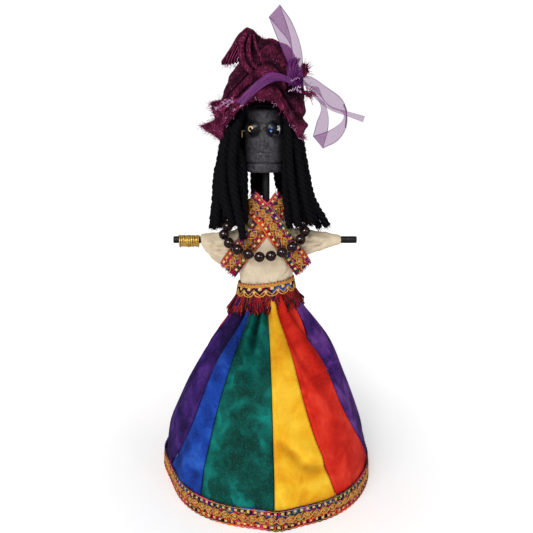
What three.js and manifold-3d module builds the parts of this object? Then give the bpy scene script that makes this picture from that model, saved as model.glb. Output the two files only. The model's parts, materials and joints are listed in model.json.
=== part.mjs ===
// A free-standing rod puppet in Rajasthani dress: a black wooden head on a rod, a straight arm bar
// through cloth sleeves, and a bell skirt that hides a round wooden foot.
// Millimetres, +Z up, origin on the ground under the spine rod, the face looks along -Y.

import * as THREE from "three";
import { mergeVertices } from "three/addons/utils/BufferGeometryUtils.js";
import Module from "manifold-3d";

const wasm = await Module();
wasm.setup();

// ---------------------------------------------------------------- driving dimensions

const GAP = 0.3; // clearance kept between neighbouring pieces
const ROD_RADIUS = 2.75; // spine and neck dowels
const ARM_RADIUS = 2.65; // arm dowel
const ARM_HEIGHT = 189.65; // arm axis above the ground
const ARM_LEFT = -70.4;
const ARM_RIGHT = 69;

const BASE = { radius: 38, height: 14, socketDepth: 9 };
const CORE = { radius: 8, bottom: 148, top: 206, lowerSocket: 20, upperSocket: 11 };

const HEAD = { radius: 15, bottom: 241, top: 286.2, shift: -0.9, turn: -5, socketTop: 262 };
const GROOVE = { height: 247.9, half: 0.5, depth: 0.6 };
const EYE = { radius: 6, spread: 28, height: 272, standOff: 15.4 };

const SKIRT_TOP = 153;
const SKIRT_BOTTOM = 1;
const CLOTH = 1; // thickness of skirt, petticoat and trim solids
const HEM_TRIM_HEIGHT = 15;
const WAIST_DEPTH = 0.78; // front-to-back over side-to-side at the waist
const ROUND_BELOW = 95; // the skirt is round in plan below this height

const BEAD = { radius: 4, hole: 1.5, count: 18, pitch: 8.35 };
const HAIR_RADIUS = 3.4;
const SASH = { width: 16.2, thickness: 0.8 };
const RIBBON_THICKNESS = 0.5;

// ---------------------------------------------------------------- geometry helpers

const point = (x, y, z) => new THREE.Vector3(x, y, z);
const radians = THREE.MathUtils.degToRad;

/** A manifold solid of a closed geometry. */
function solidOf(geometry) {
  const bare = new THREE.BufferGeometry();
  bare.setAttribute("position", geometry.getAttribute("position"));
  bare.setIndex(geometry.index);
  const merged = mergeVertices(bare, 1e-4);
  const triVerts = new Uint32Array(merged.index.array);
  const vertProperties = new Float32Array(merged.attributes.position.array);
  return new wasm.Manifold(new wasm.Mesh({ numProp: 3, vertProperties, triVerts }));
}

/** The geometry of a manifold solid. */
function geometryOf(solid) {
  const mesh = solid.getMesh();
  const geometry = new THREE.BufferGeometry();
  geometry.setAttribute("position", new THREE.BufferAttribute(mesh.vertProperties, 3));
  geometry.setIndex(new THREE.BufferAttribute(mesh.triVerts, 1));
  geometry.computeVertexNormals();
  return geometry;
}

const join = (first, ...others) =>
  geometryOf(others.reduce((sum, next) => sum.add(solidOf(next)), solidOf(first)));

const cut = (first, ...others) =>
  geometryOf(others.reduce((rest, tool) => rest.subtract(solidOf(tool)), solidOf(first)));

/** Turns every face outward: a negative signed volume means they all point in. */
function faceOut(positions, faces) {
  const volume = faces.reduce((sum, [a, b, c]) => {
    const normal = positions[b].clone().cross(positions[c]);
    return sum + positions[a].dot(normal);
  }, 0);
  return volume < 0 ? faces.map(([a, b, c]) => [a, c, b]) : faces;
}

/**
 * Skin over rings of one even point count. A closed loft joins its last ring to its first;
 * an open one is capped by rungs between the two halves of its end rings.
 */
function loft(rings, closed = false) {
  const size = rings[0].length;
  const positions = rings.flat();
  const faces = [];
  const spans = closed ? rings.length : rings.length - 1;
  for (let i = 0; i < spans; i++) {
    const here = i * size;
    const next = ((i + 1) % rings.length) * size;
    for (let j = 0; j < size; j++) {
      const k = (j + 1) % size;
      faces.push([here + j, here + k, next + k], [here + j, next + k, next + j]);
    }
  }
  if (!closed) {
    const last = (rings.length - 1) * size;
    for (let j = 0; j < size / 2 - 1; j++) {
      const [a, b, c, d] = [j, j + 1, size - 2 - j, size - 1 - j];
      faces.push([a, c, b], [a, d, c]);
      faces.push([last + a, last + b, last + c], [last + a, last + c, last + d]);
    }
  }
  const geometry = new THREE.BufferGeometry().setFromPoints(positions);
  geometry.setIndex(faceOut(positions, faces).flat());
  geometry.computeVertexNormals();
  return geometry;
}

/** A closed hoop about Z: sectionAt(angle) gives its outline in the plane at that angle. */
function hoop(sectionAt, steps) {
  const rings = [];
  for (let i = 0; i < steps; i++) rings.push(sectionAt((i / steps) * 360));
  return loft(rings, true);
}

/** A level ellipse, {x, y, z} its centre and rx, ry its half sizes. */
function levelEllipse({ x = 0, y = 0, z, rx, ry }, steps) {
  return Array.from({ length: steps }, (_, i) => {
    const angle = (i / steps) * 2 * Math.PI;
    return point(x + rx * Math.cos(angle), y + ry * Math.sin(angle), z);
  });
}

/** An upright ellipse across the X direction, ry and rz its half sizes. */
function uprightEllipse({ x, y = 0, z, ry, rz }, steps) {
  return Array.from({ length: steps }, (_, i) => {
    const angle = (i / steps) * 2 * Math.PI;
    return point(x, y + ry * Math.cos(angle), z + rz * Math.sin(angle));
  });
}

/** A lathe about Z from [radius, height] pairs that close on the axis or on themselves. */
function turned(profile, segments) {
  const outline = profile.map(([r, z]) => new THREE.Vector2(r, z));
  return new THREE.LatheGeometry(outline, segments).rotateX(Math.PI / 2);
}

/** A round bar along Z between two heights. */
function upright(radius, bottom, top, sides) {
  const bar = new THREE.CylinderGeometry(radius, radius, top - bottom, sides);
  return bar.rotateX(Math.PI / 2).translate(0, 0, (top + bottom) / 2);
}

/** A round bar along X at the arm's height. */
function armwise(radius, from, to, sides) {
  const bar = new THREE.CylinderGeometry(radius, radius, to - from, sides);
  return bar.rotateZ(Math.PI / 2).translate((from + to) / 2, 0, ARM_HEIGHT);
}

/** A regular polygon outline for cords and wires. */
function roundOutline(radius, sides) {
  const corners = Array.from({ length: sides }, (_, i) => {
    const angle = (i / sides) * 2 * Math.PI;
    return new THREE.Vector2(radius * Math.cos(angle), radius * Math.sin(angle));
  });
  return new THREE.Shape(corners);
}

/** A cord of round section along a curve. */
function cord(curve, radius, sides, steps) {
  const options = { steps, extrudePath: curve, bevelEnabled: false };
  return new THREE.ExtrudeGeometry(roundOutline(radius, sides), options);
}

/** A flat strip along stations of {at, out}: its centre line and the way its face looks. */
function strip(stations, width, thickness, steps) {
  const path = new THREE.CatmullRomCurve3(stations.map((s) => s.at));
  const looks = new THREE.CatmullRomCurve3(stations.map((s) => s.out));
  const rings = [];
  for (let i = 0; i <= steps; i++) {
    const t = i / steps;
    const centre = path.getPoint(t);
    const out = looks.getPoint(t);
    const side = path.getTangent(t).cross(out).setLength(width / 2);
    const lift = side.clone().cross(path.getTangent(t)).setLength(thickness / 2);
    rings.push([
      centre.clone().sub(side).sub(lift),
      centre.clone().add(side).sub(lift),
      centre.clone().add(side).add(lift),
      centre.clone().sub(side).add(lift),
    ]);
  }
  return loft(rings);
}

function material(colour, roughness, metalness = 0) {
  return new THREE.MeshStandardMaterial({ color: colour, roughness, metalness });
}

function part(name, geometry, look) {
  const mesh = new THREE.Mesh(geometry, look);
  mesh.name = name;
  return mesh;
}

const looks = {
  blackWood: material(0x17161a, 0.55),
  paleWood: material(0xb98f5c, 0.7),
  crystal: material(0x0d0f18, 0.08),
  calico: material(0xd9c5a2, 0.9),
  wadding: material(0xe9e4d6, 1),
  net: material(0xd8d3cc, 0.95),
  braid: material(0xa8743f, 0.75),
  fringe: material(0x9c2140, 0.85),
  turban: material(0x5a1738, 0.95),
  organza: material(0x8a56a6, 0.4),
  gold: material(0xd9a441, 0.25, 1),
  bead: material(0x1b1013, 0.1),
  cord: material(0x1c1c20, 0.9),
  hair: material(0x0a090b, 0.95),
  purple: material(0x3b1c75, 0.7),
  blue: material(0x1d46c0, 0.7),
  green: material(0x0c6a58, 0.7),
  yellow: material(0xf3b01c, 0.7),
  red: material(0xd93419, 0.7),
};

// ---------------------------------------------------------------- wooden structure

function woodenStructure() {
  const group = new THREE.Group();
  const socket = ROD_RADIUS + GAP;

  const foot = upright(BASE.radius, 0, BASE.height, 40);
  const footSocket = upright(socket, BASE.height - BASE.socketDepth, BASE.height + 1, 12);
  group.add(part("base_disc", cut(foot, footSocket), looks.paleWood));

  const spineBottom = BASE.height - BASE.socketDepth + GAP;
  const spineTop = CORE.bottom + CORE.lowerSocket - GAP;
  group.add(part("spine_rod", upright(ROD_RADIUS, spineBottom, spineTop, 12), looks.blackWood));

  const core = cut(
    upright(CORE.radius, CORE.bottom, CORE.top, 20),
    upright(socket, CORE.bottom - 1, CORE.bottom + CORE.lowerSocket, 12),
    upright(socket, CORE.top - CORE.upperSocket, CORE.top + 1, 12),
    armwise(ARM_RADIUS + GAP, -CORE.radius - 1, CORE.radius + 1, 12),
  );
  group.add(part("torso_core", core, looks.paleWood));

  const neckBottom = CORE.top - CORE.upperSocket + GAP;
  const neckTop = HEAD.socketTop - GAP;
  group.add(part("neck_rod", upright(ROD_RADIUS, neckBottom, neckTop, 12), looks.blackWood));
  return group;
}

function armBar() {
  return part("arm_bar", armwise(ARM_RADIUS, ARM_LEFT, ARM_RIGHT, 12), looks.blackWood);
}

// ---------------------------------------------------------------- blouse and its filling

const BLOUSE_WALL = 0.9;
const PADDING_INSET = 1.6;

const torsoShape = [
  { z: 155, rx: 20.2, ry: 14.9 },
  { z: 163, rx: 21.2, ry: 16 },
  { z: 172, rx: 24, ry: 18 },
  { z: 182, rx: 25, ry: 18.4 },
  { z: 191, rx: 25, ry: 17.4 },
  { z: 199, rx: 22.5, ry: 13.8 },
  { z: 205, rx: 17, ry: 10 },
  { z: 209.5, rx: 11, ry: 7.4 },
  { z: 213, rx: 6.5, ry: 5.6 },
];

const leftSleeveShape = [
  { x: -14, z: 184, ry: 10.5, rz: 12 },
  { x: -28, z: 183, ry: 10, rz: 13.8 },
  { x: -36, z: 183, ry: 8.2, rz: 13.3 },
  { x: -41, z: 184.5, ry: 6.8, rz: 11 },
  { x: -46, z: 187.5, ry: 5.4, rz: 7.6 },
  { x: -49.8, z: ARM_HEIGHT, ry: 4.4, rz: 4.6 },
];

const rightSleeveShape = [
  { x: 14, z: 185, ry: 10.5, rz: 11.5 },
  { x: 28, z: 186.5, ry: 9.4, rz: 11.6 },
  { x: 36, z: 188.2, ry: 8, rz: 10 },
  { x: 43, z: 188.8, ry: 6.4, rz: 8 },
  { x: 51, z: 189.2, ry: 4.8, rz: 5.2 },
  { x: 57.2, z: ARM_HEIGHT, ry: 3.9, rz: 3.9 },
];

/** Torso rings drawn in by an inset, with the end rings pushed out to leave both ends open. */
function torsoLoft(inset, reach = 0) {
  const last = torsoShape.length - 1;
  const rings = torsoShape.map((ring, i) => {
    const push = i === 0 ? -reach : i === last ? reach : 0;
    const drawn = { z: ring.z + push, rx: ring.rx - inset, ry: ring.ry - inset };
    return levelEllipse(drawn, 18);
  });
  return loft(rings);
}

/** Sleeve rings drawn in by an inset, with the cuff ring pushed out to leave it open. */
function sleeveLoft(shape, inset, reach = 0) {
  const last = shape.length - 1;
  const rings = shape.map((ring, i) => {
    const push = i === last ? Math.sign(ring.x) * reach : 0;
    const drawn = { x: ring.x + push, z: ring.z, ry: ring.ry - inset, rz: ring.rz - inset };
    return uprightEllipse(drawn, 10);
  });
  return loft(rings);
}

function blouse() {
  const outside = join(
    torsoLoft(0),
    sleeveLoft(leftSleeveShape, 0),
    sleeveLoft(rightSleeveShape, 0),
  );
  const hollow = cut(
    outside,
    torsoLoft(BLOUSE_WALL, 1),
    sleeveLoft(leftSleeveShape, BLOUSE_WALL, 1),
    sleeveLoft(rightSleeveShape, BLOUSE_WALL, 1),
  );
  return part("blouse", hollow, looks.calico);
}

function torsoPadding() {
  const rings = torsoShape
    .filter(({ z }) => z < CORE.top)
    .map(({ z, rx, ry }) => ({ z, rx: rx - PADDING_INSET, ry: ry - PADDING_INSET }))
    .map((ring) => levelEllipse(ring, 16));
  const padding = cut(
    loft(rings),
    upright(CORE.radius + GAP, CORE.bottom, CORE.top + 1, 16),
    armwise(ARM_RADIUS + 2 * GAP, -CORE.radius * 4, CORE.radius * 4, 10),
  );
  return part("torso_padding", padding, looks.wadding);
}

// ---------------------------------------------------------------- embroidered sash

function sash(name, stations) {
  const band = strip(stations, SASH.width, SASH.thickness, 12);
  return part(name, band, looks.braid);
}

/** The upper band runs from the left of the neck down to the right hip. */
function sashOver() {
  return sash("sash_over", [
    { at: point(-9.6, 2, 221), out: point(-0.95, 0.1, 0.3) },
    { at: point(-7.4, -6.8, 218.5), out: point(-0.5, -0.8, 0.45) },
    { at: point(2, -14, 208), out: point(0, -0.85, 0.55) },
    { at: point(10.5, -18.9, 196), out: point(0.1, -0.95, 0.25) },
    { at: point(20, -17.4, 183), out: point(0.35, -0.94, 0) },
    { at: point(28.8, -13.6, 170.4), out: point(0.5, -0.86, -0.05) },
  ]);
}

/** The lower band runs from the right of the neck down to the left hip. */
function sashUnder() {
  return sash("sash_under", [
    { at: point(9.8, 2, 220.5), out: point(0.95, 0.1, 0.3) },
    { at: point(7.6, -5.6, 217), out: point(0.5, -0.8, 0.45) },
    { at: point(-1, -12, 206), out: point(0, -0.85, 0.55) },
    { at: point(-10.5, -17.6, 194.5), out: point(-0.1, -0.95, 0.25) },
    { at: point(-20.5, -16.4, 181.5), out: point(-0.35, -0.94, 0) },
    { at: point(-29.3, -12.6, 168.8), out: point(-0.5, -0.86, -0.05) },
  ]);
}

// ---------------------------------------------------------------- skirt

const skirtHeights = [0, 15, 35, 55, 75, 95, 115, 135, SKIRT_TOP];
const skirtRadii = [83, 82, 79, 72.6, 65.2, 56.5, 44.5, 27.2, 19.2];
const skirtProfile = new THREE.CubicInterpolant(skirtHeights, skirtRadii, 1);

// Folds of the hem: the angle from the front, half width in degrees, and how far it stands out.
const hemFolds = [
  [-93, 12, 2.5],
  [-68, 20, -4.5],
  [6, 7, 3.5],
  [42, 24, 2],
];

function hemFold(angle) {
  return hemFolds.reduce((sum, [centre, width, out]) => {
    const away = THREE.MathUtils.euclideanModulo(angle - centre + 180, 360) - 180;
    return sum + out * Math.exp(-((away / width) ** 2));
  }, 0);
}

// The cloth is drawn in on the left below the waist: where, how wide and how deep.
const LEFT_DRAW = { angle: -88, width: 38, height: 114, reach: 25, depth: 5.5 };

function leftDraw(angle, height) {
  const { width, reach, depth } = LEFT_DRAW;
  const away = THREE.MathUtils.euclideanModulo(angle - LEFT_DRAW.angle + 180, 360) - 180;
  const rise = height - LEFT_DRAW.height;
  return depth * Math.exp(-((away / width) ** 2) - (rise / reach) ** 2);
}

/** A point of the skirt's outer face. The angle runs from the front towards +X, in degrees. */
function skirtPoint(angle, height, outward = 0) {
  const nearHem = Math.max(0, 1 - height / 90);
  const bell = skirtProfile.evaluate(height)[0] - leftDraw(angle, height);
  const radius = bell + hemFold(angle) * nearHem + outward;
  const flatten = THREE.MathUtils.smoothstep(height, ROUND_BELOW, SKIRT_TOP) * (1 - WAIST_DEPTH);
  const turn = radians(angle);
  return point(radius * Math.sin(turn), -radius * Math.cos(turn) * (1 - flatten), height);
}

// Seams between the gores: angle at the waist, angle at the hem, and how late it swings across.
const seams = [
  { top: -47, hem: -84, bend: 4 },
  { top: -30, hem: -36, bend: 1 },
  { top: 4, hem: 4, bend: 1 },
  { top: 22, hem: 41, bend: 2 },
  { top: 55, hem: 92, bend: 3.5 },
  { top: 120, hem: 137, bend: 1 },
  { top: 184, hem: 182, bend: 1 },
  { top: 248, hem: 227, bend: 1 },
];

const goreColours = [
  ["gore_blue", looks.blue],
  ["gore_green", looks.green],
  ["gore_yellow", looks.yellow],
  ["gore_red", looks.red],
  ["gore_purple_right", looks.purple],
  ["gore_back_blue", looks.blue],
  ["gore_back_red", looks.red],
  ["gore_purple_left", looks.purple],
];

function seamAngle({ top, hem, bend }, height) {
  return top + (hem - top) * (1 - height / SKIRT_TOP) ** bend;
}

function gore(name, from, to, look) {
  const columns = 4;
  const rows = [SKIRT_BOTTOM, 15, 35, 55, 75, 95, 110, 123, 135, 144, SKIRT_TOP];
  const rings = rows.map((height) => {
    const radius = skirtProfile.evaluate(height)[0] * WAIST_DEPTH;
    const halfGap = THREE.MathUtils.radToDeg(GAP / 2 / radius);
    const start = seamAngle(from, height) + halfGap;
    const end = seamAngle(to, height) - halfGap;
    const outer = [];
    const inner = [];
    for (let i = 0; i <= columns; i++) {
      const angle = THREE.MathUtils.lerp(start, end, i / columns);
      outer.push(skirtPoint(angle, height));
      inner.unshift(skirtPoint(angle, height, -CLOTH));
    }
    return [...outer, ...inner];
  });
  return part(name, loft(rings), look);
}

function skirt() {
  const group = new THREE.Group();
  const first = seams[0];
  const fullTurn = { top: first.top + 360, hem: first.hem + 360, bend: first.bend };
  goreColours.forEach(([name, look], i) => {
    group.add(gore(name, seams[i], seams[i + 1] ?? fullTurn, look));
  });
  return group;
}

function petticoat() {
  const heights = [6, 40, 80, 110, 132, 149];
  const inset = 3.6;
  const section = (angle) => [
    ...heights.map((height) => skirtPoint(angle, height, -inset)),
    ...heights.toReversed().map((height) => skirtPoint(angle, height, -inset - CLOTH)),
  ];
  return part("petticoat", hoop(section, 28), looks.net);
}

function hemTrim() {
  const heights = [GAP, HEM_TRIM_HEIGHT];
  const section = (angle) => [
    ...heights.map((height) => skirtPoint(angle, height, GAP + 0.1)),
    ...heights.toReversed().map((height) => skirtPoint(angle, height, GAP + 0.1 + CLOTH)),
  ];
  return part("hem_trim", hoop(section, 64), looks.braid);
}

// ---------------------------------------------------------------- waist braid and its fringe

const BRAID = { top: 159.2, height: 8.8, rx: 21.7, ry: 16.7, tilt: 0.11 };

/** A point around the waist, the braid rising towards +X. */
function waistPoint(angle, grow, height) {
  const turn = radians(angle);
  const x = (BRAID.rx + grow) * Math.sin(turn);
  const y = -(BRAID.ry + grow) * Math.cos(turn);
  return point(x, y, height + BRAID.tilt * x);
}

function waistBand() {
  const bottom = BRAID.top - BRAID.height;
  const section = (angle) => [
    waistPoint(angle, 0, bottom),
    waistPoint(angle, 0, BRAID.top),
    waistPoint(angle, CLOTH, BRAID.top),
    waistPoint(angle, CLOTH, bottom),
  ];
  return part("waist_band", hoop(section, 36), looks.braid);
}

/** A flared ring of threads whose lower edge is cut into tufts. */
function waistFringe() {
  const tufts = 18;
  const top = BRAID.top - BRAID.height - GAP;
  const section = (angle) => {
    const tuft = Math.abs(Math.cos((radians(angle) * tufts) / 2));
    const bottom = 139.5 + 3 * tuft;
    const flare = 7 - 2 * tuft;
    return [
      waistPoint(angle, 0, top),
      waistPoint(angle, flare, bottom),
      waistPoint(angle, flare + CLOTH, bottom),
      waistPoint(angle, CLOTH, top),
    ];
  };
  return part("waist_fringe", hoop(section, tufts * 2), looks.fringe);
}

// ---------------------------------------------------------------- head

/** Height profile of the head: rounded ends and one turned groove near the bottom. */
function headProfile() {
  const { radius, bottom, top } = HEAD;
  const { height, half, depth } = GROOVE;
  return [
    [0, bottom],
    [radius - 2, bottom],
    [radius - 0.5, bottom + 0.7],
    [radius, bottom + 2],
    [radius, height - half],
    [radius - depth, height],
    [radius, height + half],
    [radius, top - 3],
    [radius - 1, top - 1],
    [radius - 3.4, top],
    [0, top],
  ];
}

/** Moves a geometry built at a head-centred place to the side of the head facing an angle. */
function onHead(geometry, angle, reach, height) {
  const face = radians(angle + HEAD.turn);
  return geometry
    .rotateZ(face)
    .translate(HEAD.shift + reach * Math.sin(face), -reach * Math.cos(face), height);
}

const EYE_POST = { radius: 1.2, length: 4 };

function eyeSocket(side) {
  const hole = new THREE.CylinderGeometry(EYE_POST.radius + GAP, EYE_POST.radius + GAP, 10, 8);
  return onHead(hole, side * EYE.spread, EYE.standOff, EYE.height);
}

/** A faceted stone in a flat rim, on a post that plugs into the head. */
function eye(name, side) {
  const profile = [
    [0, -EYE_POST.length],
    [EYE_POST.radius, -EYE_POST.length],
    [EYE_POST.radius, 0],
    [EYE.radius, 0],
    [EYE.radius, 1],
    [4.9, 1.7],
    [2.6, 3.2],
    [0, 3.4],
  ];
  const stone = turned(profile, 12).rotateX(Math.PI / 2);
  return part(name, onHead(stone, side * EYE.spread, EYE.standOff, EYE.height), looks.crystal);
}

const EARRING = { x: -17.4, y: -4, pinHeight: 270.6, hoop: 2.3, wire: 0.4, pinEnd: -12.6 };

function earringPin(radius) {
  const { x, y, pinHeight, pinEnd } = EARRING;
  const pin = new THREE.CylinderGeometry(radius, radius, pinEnd - x, 8).rotateZ(Math.PI / 2);
  return pin.translate((x + pinEnd) / 2, y, pinHeight);
}

function earring() {
  const { x, y, pinHeight, hoop: radius, wire } = EARRING;
  const ring = new THREE.TorusGeometry(radius, wire, 6, 16).rotateY(Math.PI / 2);
  ring.translate(x, y, pinHeight - radius);
  return part("earring", join(ring, earringPin(wire)), looks.gold);
}

function head() {
  const group = new THREE.Group();
  const block = turned(headProfile(), 28).translate(HEAD.shift, 0, 0);
  const bored = cut(
    block,
    upright(ROD_RADIUS + GAP, HEAD.bottom - 1, HEAD.socketTop, 12),
    eyeSocket(-1),
    eyeSocket(1),
    earringPin(EARRING.wire + GAP),
  );
  group.add(part("head_block", bored, looks.blackWood));
  group.add(eye("eye_left", -1), eye("eye_right", 1));
  return group;
}

// ---------------------------------------------------------------- turban

const TURBAN_WALL = 1.8;

const crownShape = [
  { x: -3, z: 265, rx: 31, ry: 27.5 },
  { x: -3, z: 274, rx: 32, ry: 28.5 },
  { x: -2.5, z: 286, rx: 31.5, ry: 28 },
  { x: -1, z: 296, rx: 30.2, ry: 26.5 },
  { x: -1, z: 305, rx: 28, ry: 23.5 },
  { x: -1, z: 312, rx: 23, ry: 18 },
  { x: -1, z: 316, rx: 11, ry: 9 },
];

function crownLoft(inset, reach = 0) {
  const last = crownShape.length - 1;
  const rings = crownShape.map(({ x, z, rx, ry }, i) => {
    const push = i === 0 ? -reach : i === last ? -inset : 0;
    return levelEllipse({ x, z: z + push, rx: rx - inset, ry: ry - inset }, 22);
  });
  return loft(rings);
}

/** The face opening: an arch cut through the front of the cap. */
function faceOpening() {
  const arch = new THREE.Shape();
  arch.moveTo(-34, 258);
  arch.splineThru([
    new THREE.Vector2(-31, 270),
    new THREE.Vector2(-16, 287),
    new THREE.Vector2(-4, 291),
    new THREE.Vector2(7, 287),
    new THREE.Vector2(19.6, 271),
    new THREE.Vector2(25, 258),
  ]);
  const options = { depth: 34, bevelEnabled: false, curveSegments: 3 };
  return new THREE.ExtrudeGeometry(arch, options).rotateX(Math.PI / 2).translate(0, -6, 0);
}

/** The brim's pointed corner, standing out past the left temple. */
function brimCorner() {
  const corner = new THREE.Shape();
  corner.moveTo(-33, 289);
  corner.lineTo(-46, 274);
  corner.lineTo(-33.4, 267);
  const options = { depth: 2, bevelEnabled: false };
  return new THREE.ExtrudeGeometry(corner, options).rotateX(Math.PI / 2).translate(0, -2, 0);
}

function turban() {
  const shell = cut(crownLoft(0), crownLoft(TURBAN_WALL, 1), faceOpening());
  return part("turban", join(shell, brimCorner()), looks.turban);
}

/** The cloth end folded over on top of the crown, leaning left. */
function turbanFold() {
  const shape = [
    { x: -31.6, z: 317.6, ry: 2.5, rz: 1.4 },
    { x: -26, z: 321.5, ry: 8, rz: 5 },
    { x: -18, z: 328, ry: 11, rz: 9.6 },
    { x: -10, z: 328.9, ry: 12, rz: 11 },
    { x: -2, z: 325.3, ry: 12, rz: 8.2 },
    { x: 6, z: 325, ry: 11, rz: 7.9 },
    { x: 13, z: 322, ry: 7, rz: 5 },
    { x: 16, z: 320.5, ry: 2, rz: 2 },
  ];
  return part("turban_fold", loft(shape.map((ring) => uprightEllipse(ring, 12))), looks.turban);
}

// ---------------------------------------------------------------- ribbon bow

const KNOT = point(21.3, -20.8, 303.5);

/** One run of ribbon from the knot, every station facing the same way. */
function ribbonRun(width, facing, places) {
  const stations = places.map((at) => ({ at, out: facing }));
  return strip([{ at: KNOT, out: facing }, ...stations], width, RIBBON_THICKNESS, 9);
}

function ribbon() {
  const knot = new THREE.SphereGeometry(4, 8, 6).translate(KNOT.x, KNOT.y, KNOT.z);
  const front = point(0, -1, 0.1);
  const upperFront = ribbonRun(11, front, [point(11, -14.5, 326), point(5.6, -12, 349.5)]);
  const upperBack = ribbonRun(10, front, [
    point(20, -14, 318),
    point(16, -11, 333),
    point(8, -12, 350),
  ]);
  const sideOuter = ribbonRun(9, front, [
    point(36, -15, 299.5),
    point(48, -12.5, 291),
    point(53, -12, 279),
    point(49, -12.3, 267),
    point(38.5, -12.3, 263),
  ]);
  const sideInner = ribbonRun(6, front, [
    point(33, -16.5, 296),
    point(40, -15, 285),
    point(40.5, -13.5, 273),
    point(37, -12.3, 263),
  ]);
  const leftTail = ribbonRun(9, point(0, -1, 0.35), [
    point(12, -25.5, 304.5),
    point(2, -28, 304.8),
    point(-7, -29, 299.5),
    point(-16, -29.5, 290.5),
  ]);
  const rightTail = ribbonRun(4.5, point(0, -1, 0.6), [
    point(33.4, -18, 296),
    point(45, -16, 287),
    point(69.8, -13, 278.8),
  ]);
  const bow = join(knot, upperFront, upperBack, sideOuter, sideInner, leftTail, rightTail);
  return part("ribbon", bow, looks.organza);
}

// ---------------------------------------------------------------- yarn hair

const hairLeft = [
  ["hair_left_1", [[-28.6, -6, 263.3], [-32.6, -6, 250], [-35, -6, 222], [-36.6, -6, 204]]],
  ["hair_left_2", [[-29.6, 4, 262.6], [-36.4, 4, 240], [-38.6, 4, 216], [-40.3, 4, 203]]],
  ["hair_left_3", [[-25.8, -14, 271], [-30, -14, 250], [-29.6, -15, 228], [-25, -18, 207.5]]],
  ["hair_left_4", [[-21.2, -20.6, 272], [-23.5, -21.5, 250], [-21.6, -23, 225], [-16.5, -25.5, 197]]],
  ["hair_left_5", [[-25.6, 13.3, 263.3], [-30.6, 14, 243], [-31, 14, 220]]],
];

const hairRight = [
  ["hair_right_1", [[20.8, -11, 263.3], [24.6, -13, 245], [28.6, -14, 222], [32.7, -13.4, 207.4]]],
  ["hair_right_2", [[22.8, -4, 263.3], [28.6, -4.5, 244], [34, -5, 222], [44.6, -5, 203.5]]],
  ["hair_right_3", [[21.2, 8, 263.3], [24, 9, 245], [25, 10, 222], [30, 10, 209]]],
];

const hairMiddle = [
  ["hair_front_left", [[-17.4, -13, 281], [-17.6, -13, 262], [-16.4, -14, 237], [-15.5, -15, 209]]],
  ["hair_front_right", [[15.2, -16.5, 277], [16, -16.2, 262], [17.6, -16.2, 240], [22, -20, 211.5]]],
  ["hair_back_left", [[-10, 19, 272], [-9.5, 18.6, 245], [-9, 17.5, 220]]],
  ["hair_back_right", [[9, 19, 272], [9.5, 18.6, 245], [12, 17.5, 220]]],
];

function hair(strands) {
  return strands.map(([name, places]) => {
    const curve = new THREE.CatmullRomCurve3(places.map((place) => point(...place)));
    return part(name, cord(curve, HAIR_RADIUS, 6, 8), looks.hair);
  });
}

// ---------------------------------------------------------------- necklace

const necklacePath = new THREE.CatmullRomCurve3(
  [
    [-1, 13, 212.5],
    [-12.5, 9.5, 211],
    [-20.5, 1, 208],
    [-27.5, -8, 202.6],
    [-30.6, -16, 196.4],
    [-25.5, -21.8, 190],
    [-15.5, -24.4, 184.8],
    [-3, -25.2, 181.7],
    [12.5, -25, 185.4],
    [23.5, -22.2, 192.4],
    [28.6, -15.5, 198.8],
    [26.5, -7, 204.2],
    [20.5, 1.5, 208.4],
    [12, 9.5, 211.3],
  ].map((place) => point(...place)),
  true,
);

function necklace() {
  const group = new THREE.Group();
  group.add(part("necklace_cord", cord(necklacePath, 0.5, 4, 72), looks.cord));
  const length = necklacePath.getLength();
  const bareEnds = (length - BEAD.pitch * (BEAD.count - 1)) / 2;
  const { radius, hole } = BEAD;
  const tip = Math.asin(hole / radius);
  const profile = Array.from({ length: 6 }, (_, i) => {
    const lean = THREE.MathUtils.lerp(tip, Math.PI - tip, i / 5);
    return [radius * Math.sin(lean), -radius * Math.cos(lean)];
  });
  profile.push(profile[0]);
  for (let i = 0; i < BEAD.count; i++) {
    const t = (bareEnds + i * BEAD.pitch) / length;
    const bead = part(`bead_${String(i + 1).padStart(2, "0")}`, turned(profile, 8), looks.bead);
    bead.position.copy(necklacePath.getPointAt(t));
    bead.quaternion.setFromUnitVectors(point(0, 0, 1), necklacePath.getTangentAt(t));
    group.add(bead);
  }
  return group;
}

// ---------------------------------------------------------------- bangle

const BANGLE = { from: -66.2, to: -50.9, turns: 9, radius: 4.65, wire: 0.5 };

class Coil extends THREE.Curve {
  getPoint(t) {
    const turn = t * BANGLE.turns * 2 * Math.PI;
    const hang = ARM_HEIGHT + ARM_RADIUS + GAP + BANGLE.wire - BANGLE.radius;
    return point(
      THREE.MathUtils.lerp(BANGLE.from, BANGLE.to, t),
      BANGLE.radius * Math.sin(turn),
      hang + BANGLE.radius * Math.cos(turn),
    );
  }
}

function bangle() {
  return part("bangle", cord(new Coil(), BANGLE.wire, 4, BANGLE.turns * 10), looks.gold);
}

// ---------------------------------------------------------------- the whole puppet

const puppet = new THREE.Group();
puppet.add(woodenStructure(), armBar(), blouse(), torsoPadding());
puppet.add(sashOver(), sashUnder());
puppet.add(skirt(), petticoat(), hemTrim(), waistBand(), waistFringe());
puppet.add(head(), earring(), turban(), turbanFold(), ribbon());
puppet.add(...hair(hairLeft), ...hair(hairRight), ...hair(hairMiddle));
puppet.add(necklace(), bangle());

export default puppet;
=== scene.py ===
"""A free-standing Rajasthani kathputli doll: paint, cloth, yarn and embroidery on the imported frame."""

import json
import math

import bmesh
import bpy
import numpy as np
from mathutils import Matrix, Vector, noise


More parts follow.
